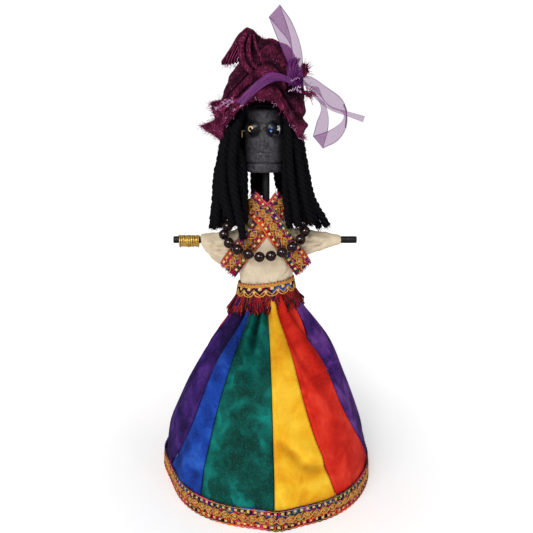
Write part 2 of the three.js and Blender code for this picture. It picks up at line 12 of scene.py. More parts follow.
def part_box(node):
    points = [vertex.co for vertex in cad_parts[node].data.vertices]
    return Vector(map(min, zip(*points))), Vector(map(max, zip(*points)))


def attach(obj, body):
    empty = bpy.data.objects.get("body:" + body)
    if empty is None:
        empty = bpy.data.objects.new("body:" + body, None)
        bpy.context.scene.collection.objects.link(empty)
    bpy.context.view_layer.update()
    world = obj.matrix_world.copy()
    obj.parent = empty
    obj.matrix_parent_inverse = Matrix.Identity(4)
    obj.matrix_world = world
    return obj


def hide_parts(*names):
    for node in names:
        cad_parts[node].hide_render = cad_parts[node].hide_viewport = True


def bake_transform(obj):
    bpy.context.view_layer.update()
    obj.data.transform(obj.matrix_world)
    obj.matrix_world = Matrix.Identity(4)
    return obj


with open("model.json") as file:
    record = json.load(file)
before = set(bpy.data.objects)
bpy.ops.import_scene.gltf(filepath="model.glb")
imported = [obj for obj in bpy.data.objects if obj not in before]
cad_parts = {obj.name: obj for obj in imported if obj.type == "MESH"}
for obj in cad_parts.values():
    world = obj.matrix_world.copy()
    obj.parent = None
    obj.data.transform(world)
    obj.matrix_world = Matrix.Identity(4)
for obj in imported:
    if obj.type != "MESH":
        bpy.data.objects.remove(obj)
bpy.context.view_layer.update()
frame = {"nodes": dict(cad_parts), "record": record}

MM = 0.001  # a millimetre in metres; shapes are worked out in mm and built in metres
rng = np.random.default_rng(11)  # every random draw comes from here, in a fixed order


# ------------------------------------------------------------------ curves and meshes, in mm


def unit(vectors):
    """Each row scaled to length one."""
    vectors = np.asarray(vectors, float)
    length = np.linalg.norm(vectors, axis=-1, keepdims=True)
    return vectors / np.maximum(length, 1e-9)


def spline(knots, count, closed=False):
    """count points spread evenly along a smooth curve through the knots."""
    knots = np.asarray(knots, float)
    if closed:
        padded = np.vstack([knots[-1:], knots, knots[:2]])
    else:
        padded = np.vstack([2 * knots[0] - knots[1], knots, 2 * knots[-1] - knots[-2]])
    spans = len(padded) - 3
    t = np.linspace(0, spans, spans * 24 + 1)
    i = np.minimum(t.astype(int), spans - 1)
    u = (t - i)[:, None]
    a, b, c, d = (padded[i + k] for k in range(4))
    curve = 0.5 * (
        2 * b
        + (c - a) * u
        + (2 * a - 5 * b + 4 * c - d) * u**2
        + (3 * b - a - 3 * c + d) * u**3
    )
    steps = np.linalg.norm(np.diff(curve, axis=0), axis=1)
    travelled = np.concatenate([[0], np.cumsum(steps)])
    wanted = np.linspace(0, travelled[-1], count)
    return np.stack([np.interp(wanted, travelled, axis) for axis in curve.T], axis=1)


def smoothstep(low, high, value):
    """Rises smoothly from 0 at low to 1 at high."""
    t = np.clip((np.asarray(value, float) - low) / (high - low), 0, 1)
    return t * t * (3 - 2 * t)


def bell(value, centre, width):
    """A smooth bump of height one."""
    return np.exp(-(((np.asarray(value, float) - centre) / width) ** 2))


def ripple(points, size, seed=0.0, octaves=1):
    """Smooth noise in about -1..1 with features of a given size in mm."""
    points = np.asarray(points, float).reshape(-1, 3)
    total = np.zeros(len(points))
    for octave in range(octaves):
        scaled = points * 2**octave / size + seed + 17.3 * octave
        total += np.array([noise.noise(Vector(p)) for p in scaled]) / 2**octave
    return total


def grid_faces(rows, columns, wrap=False):
    """Quads over a rows x columns grid of points. A wrapped grid joins its last column to its first."""
    last = columns if wrap else columns - 1
    return [
        (i * columns + j, i * columns + (j + 1) % columns,
         (i + 1) * columns + (j + 1) % columns, (i + 1) * columns + j)
        for i in range(rows - 1)
        for j in range(last)
    ]


class Shape:
    """Points, faces and per-point values gathered for one mesh."""

    def __init__(self):
        self.points = []
        self.faces = []
        self.slots = []
        self.values = []
        self.count = 0

    def add(self, points, faces, slot=0, tint=0.0, along=0.0, across=0.0):
        points = np.asarray(points, float).reshape(-1, 3)
        ones = np.ones(len(points))
        self.points.append(points)
        self.faces += [tuple(i + self.count for i in face) for face in faces]
        self.slots += [slot] * len(faces)
        self.values.append(np.stack([ones * tint, ones * along, ones * across], axis=1))
        self.count += len(points)

    def closed(self, rings, **values):
        """Rings of points joined into a skin that is closed at both ends."""
        rings = np.asarray(rings, float)
        count, size = rings.shape[:2]
        faces = grid_faces(count, size, wrap=True)
        faces.append(tuple(range(size))[::-1])
        faces.append(tuple((count - 1) * size + j for j in range(size)))
        self.add(rings, faces, **values)

    def tube(self, path, radius, sides, **values):
        """A closed tube along a path of points. radius is one number or one for each point."""
        path = np.asarray(path, float)
        count = len(path)
        tangents = unit(np.gradient(path, axis=0))
        radii = np.broadcast_to(np.asarray(radius, float), count)
        start = tangents[0]
        helper = np.eye(3)[np.argmin(np.abs(start))]
        side = np.cross(start, helper)
        angles = np.arange(sides) * 2 * math.pi / sides
        rings = np.empty((count, sides, 3))
        for i in range(count):
            side = side - tangents[i] * (side @ tangents[i])
            side = side / np.linalg.norm(side)
            other = np.cross(tangents[i], side)
            spokes = np.outer(np.cos(angles), side) + np.outer(np.sin(angles), other)
            rings[i] = path[i] + radii[i] * spokes
        self.closed(rings, **values)

    def sheet(self, points, **values):
        """A grid of points as one layer of cloth."""
        points = np.asarray(points, float)
        self.add(points, grid_faces(points.shape[0], points.shape[1]), **values)

    def lathe(self, profile, place, segments=48):
        """A profile of (radius, height) turned about the local axis of a placing function."""
        angles = np.arange(segments) * 2 * math.pi / segments
        rings = [
            [place(r * math.cos(a), r * math.sin(a), h) for a in angles] for r, h in profile
        ]
        self.closed(rings)

    def build(self, name, looks):
        """The mesh object, with tint, along and across kept as attributes."""
        mesh = bpy.data.meshes.new(name)
        mesh.from_pydata((np.vstack(self.points) * MM).tolist(), [], self.faces)
        for look in looks:
            mesh.materials.append(look)
        mesh.polygons.foreach_set("material_index", self.slots)
        mesh.polygons.foreach_set("use_smooth", [True] * len(self.faces))
        values = np.vstack(self.values).astype(np.float32)
        for column, label in enumerate(("tint", "along", "across")):
            attribute = mesh.attributes.new(label, "FLOAT", "POINT")
            attribute.data.foreach_set("value", values[:, column].copy())
        mesh.update()
        piece = bpy.data.objects.new(name, mesh)
        bpy.context.scene.collection.objects.link(piece)
        return piece


def finish_piece(piece, body, nodes, slot):
    """Rides the piece on its body and hides the CAD nodes it stands for. Its slot is not used.

    A piece given no body is not attached to one.
    """
    if body:
        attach(piece, body)
    if nodes:
        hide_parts(*nodes)
    return piece


def add_modifier(piece, kind, **settings):
    """Adds a modifier with its settings to a piece."""
    modifier = piece.modifiers.new(kind.title(), kind)
    for key, value in settings.items():
        setattr(modifier, key, value)
    return modifier


def thicken(piece, thickness, offset=-1.0):
    """Gives a sheet its thickness in mm, inwards unless offset is 0 for both ways."""
    add_modifier(piece, "SOLIDIFY", thickness=thickness * MM, offset=offset)


def box_mm(node):
    """Lowest and highest corners of a CAD node in mm."""
    low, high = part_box(node)
    return np.array(low) / MM, np.array(high) / MM


def cad_points(node):
    """The distinct vertices of a CAD node in mm."""
    vertices = frame["nodes"][node].data.vertices
    points = np.array([v.co for v in vertices], float) / MM
    return np.unique(np.round(points, 3), axis=0)


# ------------------------------------------------------------------ materials


def rgb(red, green, blue):
    """A display colour of 0..255 values as the linear colour that shaders take."""
    channels = [value / 255 for value in (red, green, blue)]
    linear = [c / 12.92 if c <= 0.04045 else ((c + 0.055) / 1.055) ** 2.4 for c in channels]
    return (*linear, 1.0)


class Look:
    """A principled material whose colour, roughness and bump come from nodes. Lengths are in mm."""

    def __init__(self, name):
        self.material = bpy.data.materials.new(name)
        self.material.use_nodes = True
        self.tree = self.material.node_tree
        self.shader = self.tree.nodes["Principled BSDF"]
        object_space = self.node("ShaderNodeTexCoord").outputs["Object"]
        self.place = self.vector("MULTIPLY", object_space, (1 / MM, 1 / MM, 1 / MM))

    def feed(self, socket, value):
        if isinstance(value, bpy.types.NodeSocket):
            self.tree.links.new(value, socket)
        else:
            socket.default_value = value

    def node(self, kind, inputs=None, **settings):
        node = self.tree.nodes.new(kind)
        for key, value in settings.items():
            setattr(node, key, value)
        for key, value in (inputs or {}).items():
            self.feed(node.inputs[key], value)
        return node

    def vector(self, operation, first, second):
        return self.node(
            "ShaderNodeVectorMath", {0: first, 1: second}, operation=operation
        ).outputs[0]

    def math(self, operation, first, second=0.0):
        return self.node("ShaderNodeMath", {0: first, 1: second}, operation=operation).outputs[0]

    def attribute(self, name):
        return self.node("ShaderNodeAttribute", attribute_name=name).outputs["Fac"]

    def strip_place(self):
        """Coordinates (along, across, 0) in mm for pieces that carry those attributes."""
        return self.node(
            "ShaderNodeCombineXYZ", {"X": self.attribute("along"), "Y": self.attribute("across")}
        ).outputs[0]

    def noise(self, size, detail=2.0, seed=0.0, distortion=0.0, place=None, roughness=0.5):
        """Cloudy values with features of a given size."""
        return self.node(
            "ShaderNodeTexNoise",
            {
                "Vector": self.place if place is None else place,
                "W": seed,
                "Scale": 1 / size,
                "Detail": detail,
                "Distortion": distortion,
                "Roughness": roughness,
            },
            noise_dimensions="4D",
        ).outputs["Fac"]

    def cells(self, size, place=None, output="Color"):
        """Random values, one for each small cell."""
        return self.node(
            "ShaderNodeTexVoronoi",
            {"Vector": self.place if place is None else place, "Scale": 1 / size},
        ).outputs[output]

    def wave(self, size, direction="X", distortion=0.0, place=None):
        """Bands of a given width."""
        return self.node(
            "ShaderNodeTexWave",
            {
                "Vector": self.place if place is None else place,
                "Scale": 1 / (size * 3.18),
                "Distortion": distortion,
                "Detail": 1.0,
            },
            bands_direction=direction,
        ).outputs["Fac"]

    def ramp(self, value, stops, interpolation="LINEAR"):
        """The colour at a value, from stops of (position, colour)."""
        node = self.node("ShaderNodeValToRGB", {"Fac": value})
        node.color_ramp.interpolation = interpolation
        elements = node.color_ramp.elements
        while len(elements) < len(stops):
            elements.new(1.0)
        for element, (position, colour) in zip(elements, stops):
            element.position = position
            element.color = colour
        return node.outputs["Color"]

    def mix(self, factor, first, second):
        node = self.node("ShaderNodeMix", data_type="RGBA")
        self.feed(node.inputs["Factor"], factor)
        self.feed(node.inputs["A"], first)
        self.feed(node.inputs["B"], second)
        return node.outputs["Result"]

    def map(self, value, low, high, from_low=0.0, from_high=1.0):
        """Turns from_low..from_high into low..high."""
        return self.node(
            "ShaderNodeMapRange",
            {
                "Value": value,
                "From Min": from_low,
                "From Max": from_high,
                "To Min": low,
                "To Max": high,
            },
        ).outputs[0]

    def bump(self, height, distance, strength, under=None):
        """A normal raised by height, distance mm at most, over another bump if there is one."""
        inputs = {"Height": height, "Distance": distance * MM, "Strength": strength}
        if under is not None:
            inputs["Normal"] = under
        return self.node("ShaderNodeBump", inputs).outputs[0]

    def done(self, colour, roughness, normal=None, **others):
        """The finished material. Other shader inputs are given with _ for a space."""
        self.feed(self.shader.inputs["Base Color"], colour)
        self.feed(self.shader.inputs["Roughness"], roughness)
        if normal is not None:
            self.feed(self.shader.inputs["Normal"], normal)
        for key, value in others.items():
            self.feed(self.shader.inputs[key.replace("_", " ")], value)
        return self.material


def black_paint(name, dark, light, rubbed):
    """Matt black paint over wood: faint lengthwise grain, rubbed patches and small dents.

    The tint value is painted shade, mixed towards near-black where it marks nicks, a groove or the sides
    of the head.
    """
    look = Look(name)
    stretched = look.vector("MULTIPLY", look.place, (1, 1, 0.12))
    grain = look.noise(0.7, 4, place=stretched)
    patches = look.noise(5, 4, 3.1, roughness=0.65)
    colour = look.ramp(patches, [(0.36, dark), (0.66, light)])
    colour = look.mix(look.map(grain, 0, 0.35, 0.45, 0.75), colour, light)
    specks = look.noise(1.3, 3, 12.0, roughness=0.7)
    colour = look.mix(look.map(specks, 0, 0.45, 0.55, 0.68), colour, rubbed)
    # Painted shade: the tint value darkens the paint towards near-black.
    colour = look.mix(look.attribute("tint"), colour, rgb(6, 6, 8))
    rough = look.map(patches, 0.3, 0.55, 0.3, 0.7)
    dents = look.noise(1.9, 3, 7.7)
    normal = look.bump(grain, 0.14, 0.8)
    normal = look.bump(dents, 0.8, 0.8, normal)
    return look.done(colour, rough, normal, Specular_IOR_Level=0.4)


def speckled(name, size, detail, seed, dark, light, roughness, distance, strength, **others):
    """A look of two colours in soft specks, where the lighter specks stand up.

    dark and light are (position, colour) stops. distance and strength are the bump's.
    """
    look = Look(name)
    speck = look.noise(size, detail, seed)
    colour = look.ramp(speck, [dark, light])
    return look.done(colour, roughness, look.bump(speck, distance, strength), **others)


def bare_wood():
    """Pale unpainted wood with rings and lengthwise fibres."""
    look = Look("bare_wood")
    stretched = look.vector("MULTIPLY", look.place, (1, 1, 0.08))
    rings = look.wave(2.2, "X", 4.0, stretched)
    fibres = look.noise(0.5, 3, place=stretched)
    colour = look.ramp(rings, [(0.2, rgb(196, 158, 108)), (0.9, rgb(164, 120, 74))])
    colour = look.mix(look.map(fibres, 0, 0.5, 0.5, 0.8), colour, rgb(120, 84, 50))
    return look.done(colour, 0.65, look.bump(fibres, 0.2, 0.6))


def dyed_cloth(name, dark, middle, light, seed, pools):
    """Hand-dyed cotton: soft clouds, hard-edged pools of darker dye, a close weave, painted shade in
    folds.

    pools is how strongly the darker pools show. The tint value of the mesh is painted shade in its
    folds.
    """
    look = Look(name)
    place = look.strip_place()
    blotch = 19.0  # size of the dye clouds in mm
    cloud = look.noise(blotch, 3, seed, 0.6)
    colour = look.ramp(cloud, [(0.36, dark), (0.5, middle), (0.64, light)])
    streaks = look.vector("MULTIPLY", look.place, (1, 1, 0.55))
    for size, level, share in ((blotch, 0.56, 1.0), (blotch * 0.5, 0.6, 0.7)):
        pool = look.noise(size, 3, seed + size, 0.5, streaks, 0.5)
        colour = look.mix(look.map(pool, 0.0, pools * share, level, level + 0.03), colour, dark)
    mottle = look.noise(blotch * 0.2, 4, seed + 4, 0.5, roughness=0.7)
    colour = look.mix(look.map(mottle, 0.5 * pools, 0, 0.4, 0.52), colour, dark)
    fleck = look.noise(0.9, 2, seed + 9)
    colour = look.mix(look.map(fleck, 0, 0.35, 0.46, 0.7), colour, light)
    # Painted shade: the colour moves towards this darker one where the tint value is high.
    deep = tuple(0.4 * channel**1.5 for channel in dark[:3]) + (1.0,)
    colour = look.mix(look.attribute("tint"), colour, deep)
    weave = look.math("ADD", look.wave(0.42, "X", 0.4, place), look.wave(0.42, "Y", 0.4, place))
    crease = look.noise(7, 3, seed + 2)
    normal = look.bump(weave, 0.05, 0.5)
    normal = look.bump(crease, 0.7, 0.45, normal)
    return look.done(colour, look.map(fleck, 0.6, 0.75), normal, Specular_IOR_Level=0.08)


def calico():
    """Unbleached plain cotton with slubs in both thread directions."""
    look = Look("calico")
    warp = look.wave(0.8, "X", 1.2)
    weft = look.wave(0.8, "DIAGONAL", 1.2)
    slub = look.noise(1.6, 3, 2.0, place=look.vector("MULTIPLY", look.place, (1, 1, 0.15)))
    stain = look.noise(14, 3, 6.0)
    colour = look.ramp(stain, [(0.3, rgb(203, 187, 160)), (0.7, rgb(217, 202, 178))])
    colour = look.mix(look.map(slub, 0, 0.5, 0.5, 0.8), colour, rgb(184, 160, 122))
    weave = look.math("MULTIPLY", warp, weft)
    colour = look.mix(look.map(weave, 0.16, 0), colour, rgb(186, 160, 120))
    normal = look.bump(weave, 0.14, 0.6)
    return look.done(colour, 0.9, normal, Sheen_Weight=0.06, Specular_IOR_Level=0.15)


THREADS = [
    rgb(182, 14, 34), rgb(214, 16, 96), rgb(74, 16, 112), rgb(24, 92, 176),
    rgb(8, 92, 58), rgb(236, 84, 20), rgb(40, 8, 48), rgb(226, 26, 66),
]


def thread_palette(look, value):
    """One of the thread colours, picked by a value of 0..1."""
    stops = [(i / len(THREADS), colour) for i, colour in enumerate(THREADS)]
    return look.ramp(value, stops, "CONSTANT")


def stitched_ground():
    """The trim's ground cloth: short close stitches in many colours."""
    look = Look("stitched_ground")
    place = look.vector("MULTIPLY", look.strip_place(), (1, 0.62, 1))
    cells = look.node("ShaderNodeSeparateColor", {"Color": look.cells(0.85, place)})
    colour = thread_palette(look, cells.outputs[0])
    colour = look.mix(look.map(cells.outputs[1], 0.0, 0.9), colour, rgb(34, 10, 34))
    height = look.cells(0.85, place, "Distance")
    return look.done(colour, 0.7, look.bump(height, -0.5, 0.8), Specular_IOR_Level=0.1)


def coloured_thread():
    """Stranded thread whose colour is picked by its tint value."""
    look = Look("coloured_thread")
    colour = thread_palette(look, look.attribute("tint"))
    strand = look.noise(0.35, 2)
    colour = look.mix(look.map(strand, 0.3, 0.0, 0.3, 0.6), colour, rgb(20, 8, 16))
    return look.done(colour, 0.5, look.bump(strand, 0.15, 0.6), Specular_IOR_Level=0.2)


def fringe_thread():
    """Loose rayon threads, mostly reds with orange, magenta, purple and a little green."""
    look = Look("fringe_thread")
    stops = [
        (0.0, rgb(104, 8, 16)), (0.18, rgb(172, 28, 12)), (0.34, rgb(112, 8, 38)),
        (0.48, rgb(38, 8, 26)), (0.64, rgb(190, 62, 20)), (0.72, rgb(26, 8, 44)),
        (0.82, rgb(14, 44, 22)), (0.9, rgb(164, 24, 62)),
    ]
    colour = look.ramp(look.attribute("tint"), stops, "CONSTANT")
    return look.done(colour, 0.5, None, Specular_IOR_Level=0.2)


def metal_thread(name, dark, light):
    """Gold-wrapped embroidery cord, twisted so that it glints unevenly."""
    look = Look(name)
    twist = look.noise(0.5, 2, 4.0)
    colour = look.ramp(twist, [(0.35, dark), (0.65, light)])
    rough = look.map(twist, 0.5, 0.3, 0.3, 0.7)
    return look.done(colour, rough, look.bump(twist, 0.2, 0.7), Metallic=0.15)


def gold_wire():
    """Bright brass-coloured wire, a little worn."""
    look = Look("gold_wire")
    wear = look.noise(1.4, 3, 1.0)
    colour = look.ramp(wear, [(0.35, rgb(222, 158, 44)), (0.6, rgb(255, 224, 118))])
    return look.done(colour, look.map(wear, 0.3, 0.2), look.bump(wear, 0.04, 0.4), Metallic=0.55)


def black_yarn():
    """Twisted wool: fibres run along the ply, with a painted brown-black sheen on the ridges."""
    look = Look("black_yarn")
    fibre = look.noise(0.5, 3, 2.0, place=look.vector("MULTIPLY", look.place, (1, 1, 0.5)))
    colour = look.ramp(fibre, [(0.35, rgb(4, 3, 6)), (0.7, rgb(19, 16, 21))])
    return look.done(colour, 0.8, look.bump(fibre, 0.3, 0.9), Specular_IOR_Level=0.14)


def turban_gauze():
    """Crinkled burgundy gauze: close fine pleats, worn paler specks and painted shade in the hollows."""
    look = Look("turban_gauze")
    fine = look.noise(0.8, 2, 3.0, 0.4, look.vector("MULTIPLY", look.place, (1.6, 1.6, 0.3)))
    patch = look.noise(7, 3, 8.0)
    colour = look.ramp(
        fine, [(0.38, rgb(28, 4, 16)), (0.51, rgb(84, 16, 47)), (0.69, rgb(156, 50, 98))]
    )
    colour = look.mix(look.map(patch, 0.0, 0.75, 0.42, 0.66), colour, rgb(38, 5, 22))
    speck = look.noise(0.9, 1, 21.0)
    # Painted shade in the hollows and creases, from the tint value.
    colour = look.mix(look.attribute("tint"), colour, rgb(14, 2, 9))
    bare = look.map(patch, 0.8, 0, 0.3, 0.6)
    worn = look.math("MULTIPLY", look.map(speck, 0, 1, 0.64, 0.7), bare)
    colour = look.mix(worn, colour, rgb(172, 112, 132))
    weft = look.wave(0.5, "Z", 2.0)
    normal = look.bump(fine, 0.4, 0.8)
    normal = look.bump(weft, 0.1, 0.4, normal)
    return look.done(colour, 0.85, normal, Specular_IOR_Level=0.1)


def frayed_thread():
    """Single threads pulled out of the gauze: magenta, lilac and white by tint."""
    look = Look("frayed_thread")
    stops = [(0.0, rgb(120, 26, 70)), (0.55, rgb(164, 52, 108)), (0.8, rgb(216, 176, 216))]
    colour = look.ramp(look.attribute("tint"), stops, "CONSTANT")
    return look.done(colour, 0.7, None, Specular_IOR_Level=0.2)


def organza():
    """Sheer violet ribbon: see-through between threads, denser along its woven edges.

    The tint value marks the scrunched or doubled parts, which are darker and closer.
    """
    look = Look("organza")
    edge = look.map(look.math("ABSOLUTE", look.attribute("across")), 0.0, 1.0, 0.84, 0.97)
    doubled = look.attribute("tint")
    weave = look.noise(0.35, 2, 5.0)
    streak_place = look.vector("MULTIPLY", look.strip_place(), (0.04, 5, 1))
    streak = look.noise(0.8, 2, 6.0, place=streak_place)
    colour = look.ramp(weave, [(0.3, rgb(136, 76, 138)), (0.7, rgb(148, 90, 148))])
    colour = look.mix(edge, colour, rgb(92, 34, 118))
    scrunched = look.ramp(streak, [(0.36, rgb(48, 8, 62)), (0.62, rgb(116, 30, 118))])
    colour = look.mix(doubled, colour, scrunched)
    solid = look.math("ADD", look.math("MULTIPLY", edge, 0.3), look.math("MULTIPLY", doubled, 0.35))
    alpha = look.math("ADD", look.map(weave, 0.36, 0.42, 0.3, 0.7), solid)
    normal = look.bump(weave, 0.1, 0.4)
    return look.done(colour, 0.5, normal, Alpha=alpha, Specular_IOR_Level=0.25)


def glossy_bead():
    """Dark brown glass under a clear gloss, cloudy inside."""
    look = Look("glossy_bead")
    cloud = look.noise(2.4, 3, 4.0)
    colour = look.ramp(cloud, [(0.35, rgb(14, 8, 9)), (0.8, rgb(52, 26, 24))])
    scratch = look.noise(0.9, 2, 1.0)
    rough = look.map(scratch, 0.05, 0.1)
    normal = look.bump(cloud, 0.04, 0.3)
    return look.done(colour, rough, normal, Coat_Weight=1.0, Coat_Roughness=0.03)


def eye_stone(name, base, gloss=0.05, painted_reflection_glow=None):
    """A facet of dark crystal, or one painted as a coloured reflection that can glow with its own light.
    """
    look = Look(name)
    depth = look.noise(1.2, 2, 2.0)
    colour = look.mix(look.map(depth, 0, 0.6, 0.4, 0.8), base, rgb(8, 10, 16))
    others = {"Coat_Weight": 0.06, "Coat_Roughness": 0.05}
    # A glowing facet is a painted reflection.
    if painted_reflection_glow is not None:
        others["Emission_Color"] = painted_reflection_glow
        others["Emission_Strength"] = 0.45
    return look.done(colour, gloss, None, **others)


def thin_net():
    """Stiff net: an open mesh of fine threads."""
    look = Look("petticoat_net")
    distance = look.cells(1.2, look.strip_place(), "Distance")
    colour = look.ramp(distance, [(0.1, rgb(236, 232, 224)), (0.6, rgb(200, 194, 184))])
    return look.done(colour, 0.9, look.bump(distance, 0.4, 0.8))


def wadding():
    """Soft off-white filling."""
    return speckled("wadding", 1.5, 4, 2.0, (0.3, rgb(214, 206, 188)), (0.7, rgb(238, 234, 222)),
                    0.95, 0.8, 0.8, Sheen_Weight=0.5)


def waxed_cord():
    """Black cord with a faint twist."""
    return speckled("waxed_cord", 0.5, 2, 3.0, (0.3, rgb(20, 20, 24)), (0.7, rgb(48, 46, 52)),
                    0.6, 0.2, 0.8)


def pale_floor():
    """A white floor that glows, weakest near the doll as a painted shadow round the hem, and fades to
    plain white further away.
    """
    look = Look("studio_floor")
    shade = look.noise(60, 2, 1.0)
    colour = look.ramp(shade, [(0.3, rgb(252, 252, 252)), (0.7, rgb(255, 255, 255))])
    # The glow grows with distance from the middle: the weaker glow near the doll is painted shadow.
    away = look.node("ShaderNodeVectorMath", {0: look.place}, operation="LENGTH").outputs["Value"]
    return look.done(
        colour, 0.9, None, Specular_IOR_Level=0.1,
        Emission_Color=rgb(255, 255, 255), Emission_Strength=look.map(away, 0.3, 0.62, 90, 320),
    )


# ------------------------------------------------------------------ wood: base, rods, core and head


def fine_profile(corners, step):
    """A profile of (radius, height) corners with points added so that no stretch is longer than step."""
    rows = [corners[0]]
    for start, end in zip(corners, corners[1:]):
        count = max(1, math.ceil(math.dist(start, end) / step))
        for i in range(1, count + 1):
            rows.append(tuple(np.add(start, np.multiply(np.subtract(end, start), i / count))))
    return rows


def turned_bar(node, body, look, slot, axis):
    """A round bar with softened ends in the place of a CAD bar. axis is 0 for X and 2 for Z."""
    chamfer = 0.5
    low, high = box_mm(node)
    centre = (low + high) / 2
    radius = (high[1] - low[1]) / 2
    start, end = low[axis], high[axis]
    corners = [
        (0.05, start), (radius - chamfer, start), (radius - chamfer * 0.3, start + chamfer * 0.3),
        (radius, start + chamfer), (radius, end - chamfer),
        (radius - chamfer * 0.3, end - chamfer * 0.3), (radius - chamfer, end), (0.05, end),
    ]

    def place(a, b, height):
        if axis == 0:
            return (height, centre[1] + a, centre[2] + b)
        return (centre[0] + a, centre[1] + b, height)

    shape = Shape()
    shape.lathe(fine_profile(corners, 2.0), place, 40)
    points = shape.points[0]
    worn = ripple(points, 3.5, 5.0) * 0.05
    spokes = points - centre
    spokes[:, axis] = 0
    shape.points[0] = points + unit(spokes) * worn[:, None]
    return finish_piece(shape.build(node + "_turned", [look]), body, [node], slot)


def painted_side_shade(sideways):
    """How much painted shade darkens the head towards its sides."""
    return 0.55 * smoothstep(0.4, 1.0, sideways)


def wooden_head(paint):
    """The head: a turned block with a groove near its lower end, small dents and a nicked mouth."""
    low, high = box_mm("head_block")
    centre = (low + high) / 2
    radius = (high[0] - low[0]) / 2
    bottom, top = low[2], high[2]
    groove = bottom + 6.9
    corners = [
        (0.05, bottom), (radius - 2.4, bottom), (radius - 1.1, bottom + 0.3),
        (radius - 0.3, bottom + 1.1), (radius, bottom + 2.4), (radius, groove - 1.1),
        (radius - 0.3, groove - 0.6), (radius - 0.85, groove), (radius - 0.3, groove + 0.6),
        (radius, groove + 1.1), (radius, top - 3.4), (radius - 0.5, top - 1.6),
        (radius - 1.7, top - 0.4), (radius - 3.6, top), (0.05, top),
    ]
    shape = Shape()
    shape.lathe(
        fine_profile(corners, 0.6), lambda a, b, h: (centre[0] + a, centre[1] + b, h), 120
    )
    points = shape.points[0]
    spokes = unit((points - centre) * (1, 1, 0))
    mouth_x, mouth_z = -2.2, 255.2
    front = bell(points[:, 0], mouth_x, 2.4) * (points[:, 1] < 0)
    nick = front * bell(points[:, 2] + 0.18 * points[:, 0], mouth_z, 0.7)
    dents = np.minimum(ripple(points, 3.2, 2.0, 2) + 0.25, 0) * 0.22
    shape.points[0] = points + spokes * (dents - 0.4 * nick)[:, None]
    sideways = np.abs(points[:, 0] - centre[0] + 1.5) / radius
    painted_groove_shade = bell(points[:, 2], groove, 0.6)
    # The tint value is painted shade: in the mouth's nick, along the groove and towards the sides.
    shape.values[0][:, 0] = np.clip(0.9 * nick + 0.55 * painted_groove_shade + painted_side_shade(sideways), 0, 0.9)
    return finish_piece(shape.build("head_wood", [paint]), "head", ["head_block"], "black_wood")


def eye(node, looks, pick_facet):
    """A faceted stone in a rounded black rim. pick_facet chooses a facet's material slot."""
    head_low, head_high = box_mm("head_block")
    hub = (head_low + head_high) / 2
    radius = (head_high[0] - head_low[0]) / 2
    low, high = box_mm(node)
    middle = (low + high) / 2
    out = unit((middle - hub) * (1, 1, 0))
    up = np.array((0, 0, 1.0))
    side = np.cross(up, out)
    origin = hub + out * (radius - 0.1)
    origin[2] = middle[2]

    def place(a, b, height):
        return origin + side * a + up * b + out * height

    shape = Shape()
    rim = [(5.9, 0.1), (6.05, 0.6), (5.9, 1.3), (5.5, 1.6), (5.1, 1.5), (4.9, 1.1), (4.7, 0.4)]
    shape.lathe(rim, place, 48)
    rings = [(4.9, 1.2, 0.0), (3.7, 2.1, 0.5), (2.1, 2.9, 0.0), (1.2, 3.2, 0.5)]
    facets = 12
    points = [
        place(r * math.cos(a), r * math.sin(a), h)
        for r, h, shift in rings
        for a in (np.arange(facets) + shift) * 2 * math.pi / facets
    ]
    for ring, (_, _, shift) in enumerate(rings[:-1]):
        for j in range(facets):
            a = ring * facets + j
            b = ring * facets + (j + 1) % facets
            c = a + facets
            d = b + facets
            if shift == 0.0:
                triangles = [(a, b, c), (b, d, c)]
            else:
                triangles = [(a, b, d), (a, d, c)]
            for k, triangle in enumerate(triangles):
                turn = (j + 0.3 + 0.4 * k) * 360 / facets
                shape.add([points[i] for i in triangle], [(0, 1, 2)], slot=pick_facet(ring, turn))
    table = points[-facets:]
    shape.add(table, [tuple(range(facets))], slot=1)
    back = [place(4.9 * math.cos(a), 4.9 * math.sin(a), 0.2) for a in
            np.arange(facets) * 2 * math.pi / facets]
    shape.add(back + points[:facets], grid_faces(2, facets, wrap=True), slot=1)
    piece = shape.build(node + "_stone", looks)
    for polygon in piece.data.polygons:
        polygon.use_smooth = polygon.material_index == 0
    return finish_piece(piece, "head", [node], "eye_crystal")


def left_facet(ring, turn):
    """Slot of a facet of the left eye: a broken ring of painted pale gold reflection towards its left
    side, and a dimmer painted reflection.
    """
    if ring == 2 and not 250 < turn < 345:
        return 2
    if ring == 1 and 120 < turn < 215:
        return 3
    return 1


def right_facet(ring, turn):
    """Slot of a facet of the right eye: a painted blue reflection, a painted white glint and a dimmer
    painted reflection.
    """
    if ring == 1 and 162 < turn < 200:
        return 4
    if ring in (0, 1) and (turn > 335 or turn < 12):
        return 5
    if ring == 0 and 250 < turn < 290:
        return 3
    return 1


def earring(gold):
    """The thin hoop beside the left eye, and the pin that holds it in the head."""
    low, high = box_mm("earring")
    middle_y = (low[1] + high[1]) / 2
    inset = 0.4  # from the CAD box to the middle of the wire
    radius = (high[1] - low[1]) / 2 - inset
    hoop_x = low[0] + inset
    hoop_z = low[2] + inset + radius
    hoop = [
        (hoop_x, middle_y + radius * math.sin(a), hoop_z + radius * math.cos(a))
        for a in np.linspace(0, 2 * math.pi, 40)
    ]
    pin_z = high[2] - inset
    pin = np.linspace((hoop_x, middle_y, pin_z), (high[0], middle_y, pin_z), 6)
    shape = Shape()
    shape.tube(hoop, 0.42, 10)
    shape.tube(pin, 0.36, 10)
    return finish_piece(shape.build("earring_hoop", [gold]), "earring", ["earring"], "gold_wire")


# ------------------------------------------------------------------ skirt

WAIST_TOP = box_mm("gore_green")[1][2]

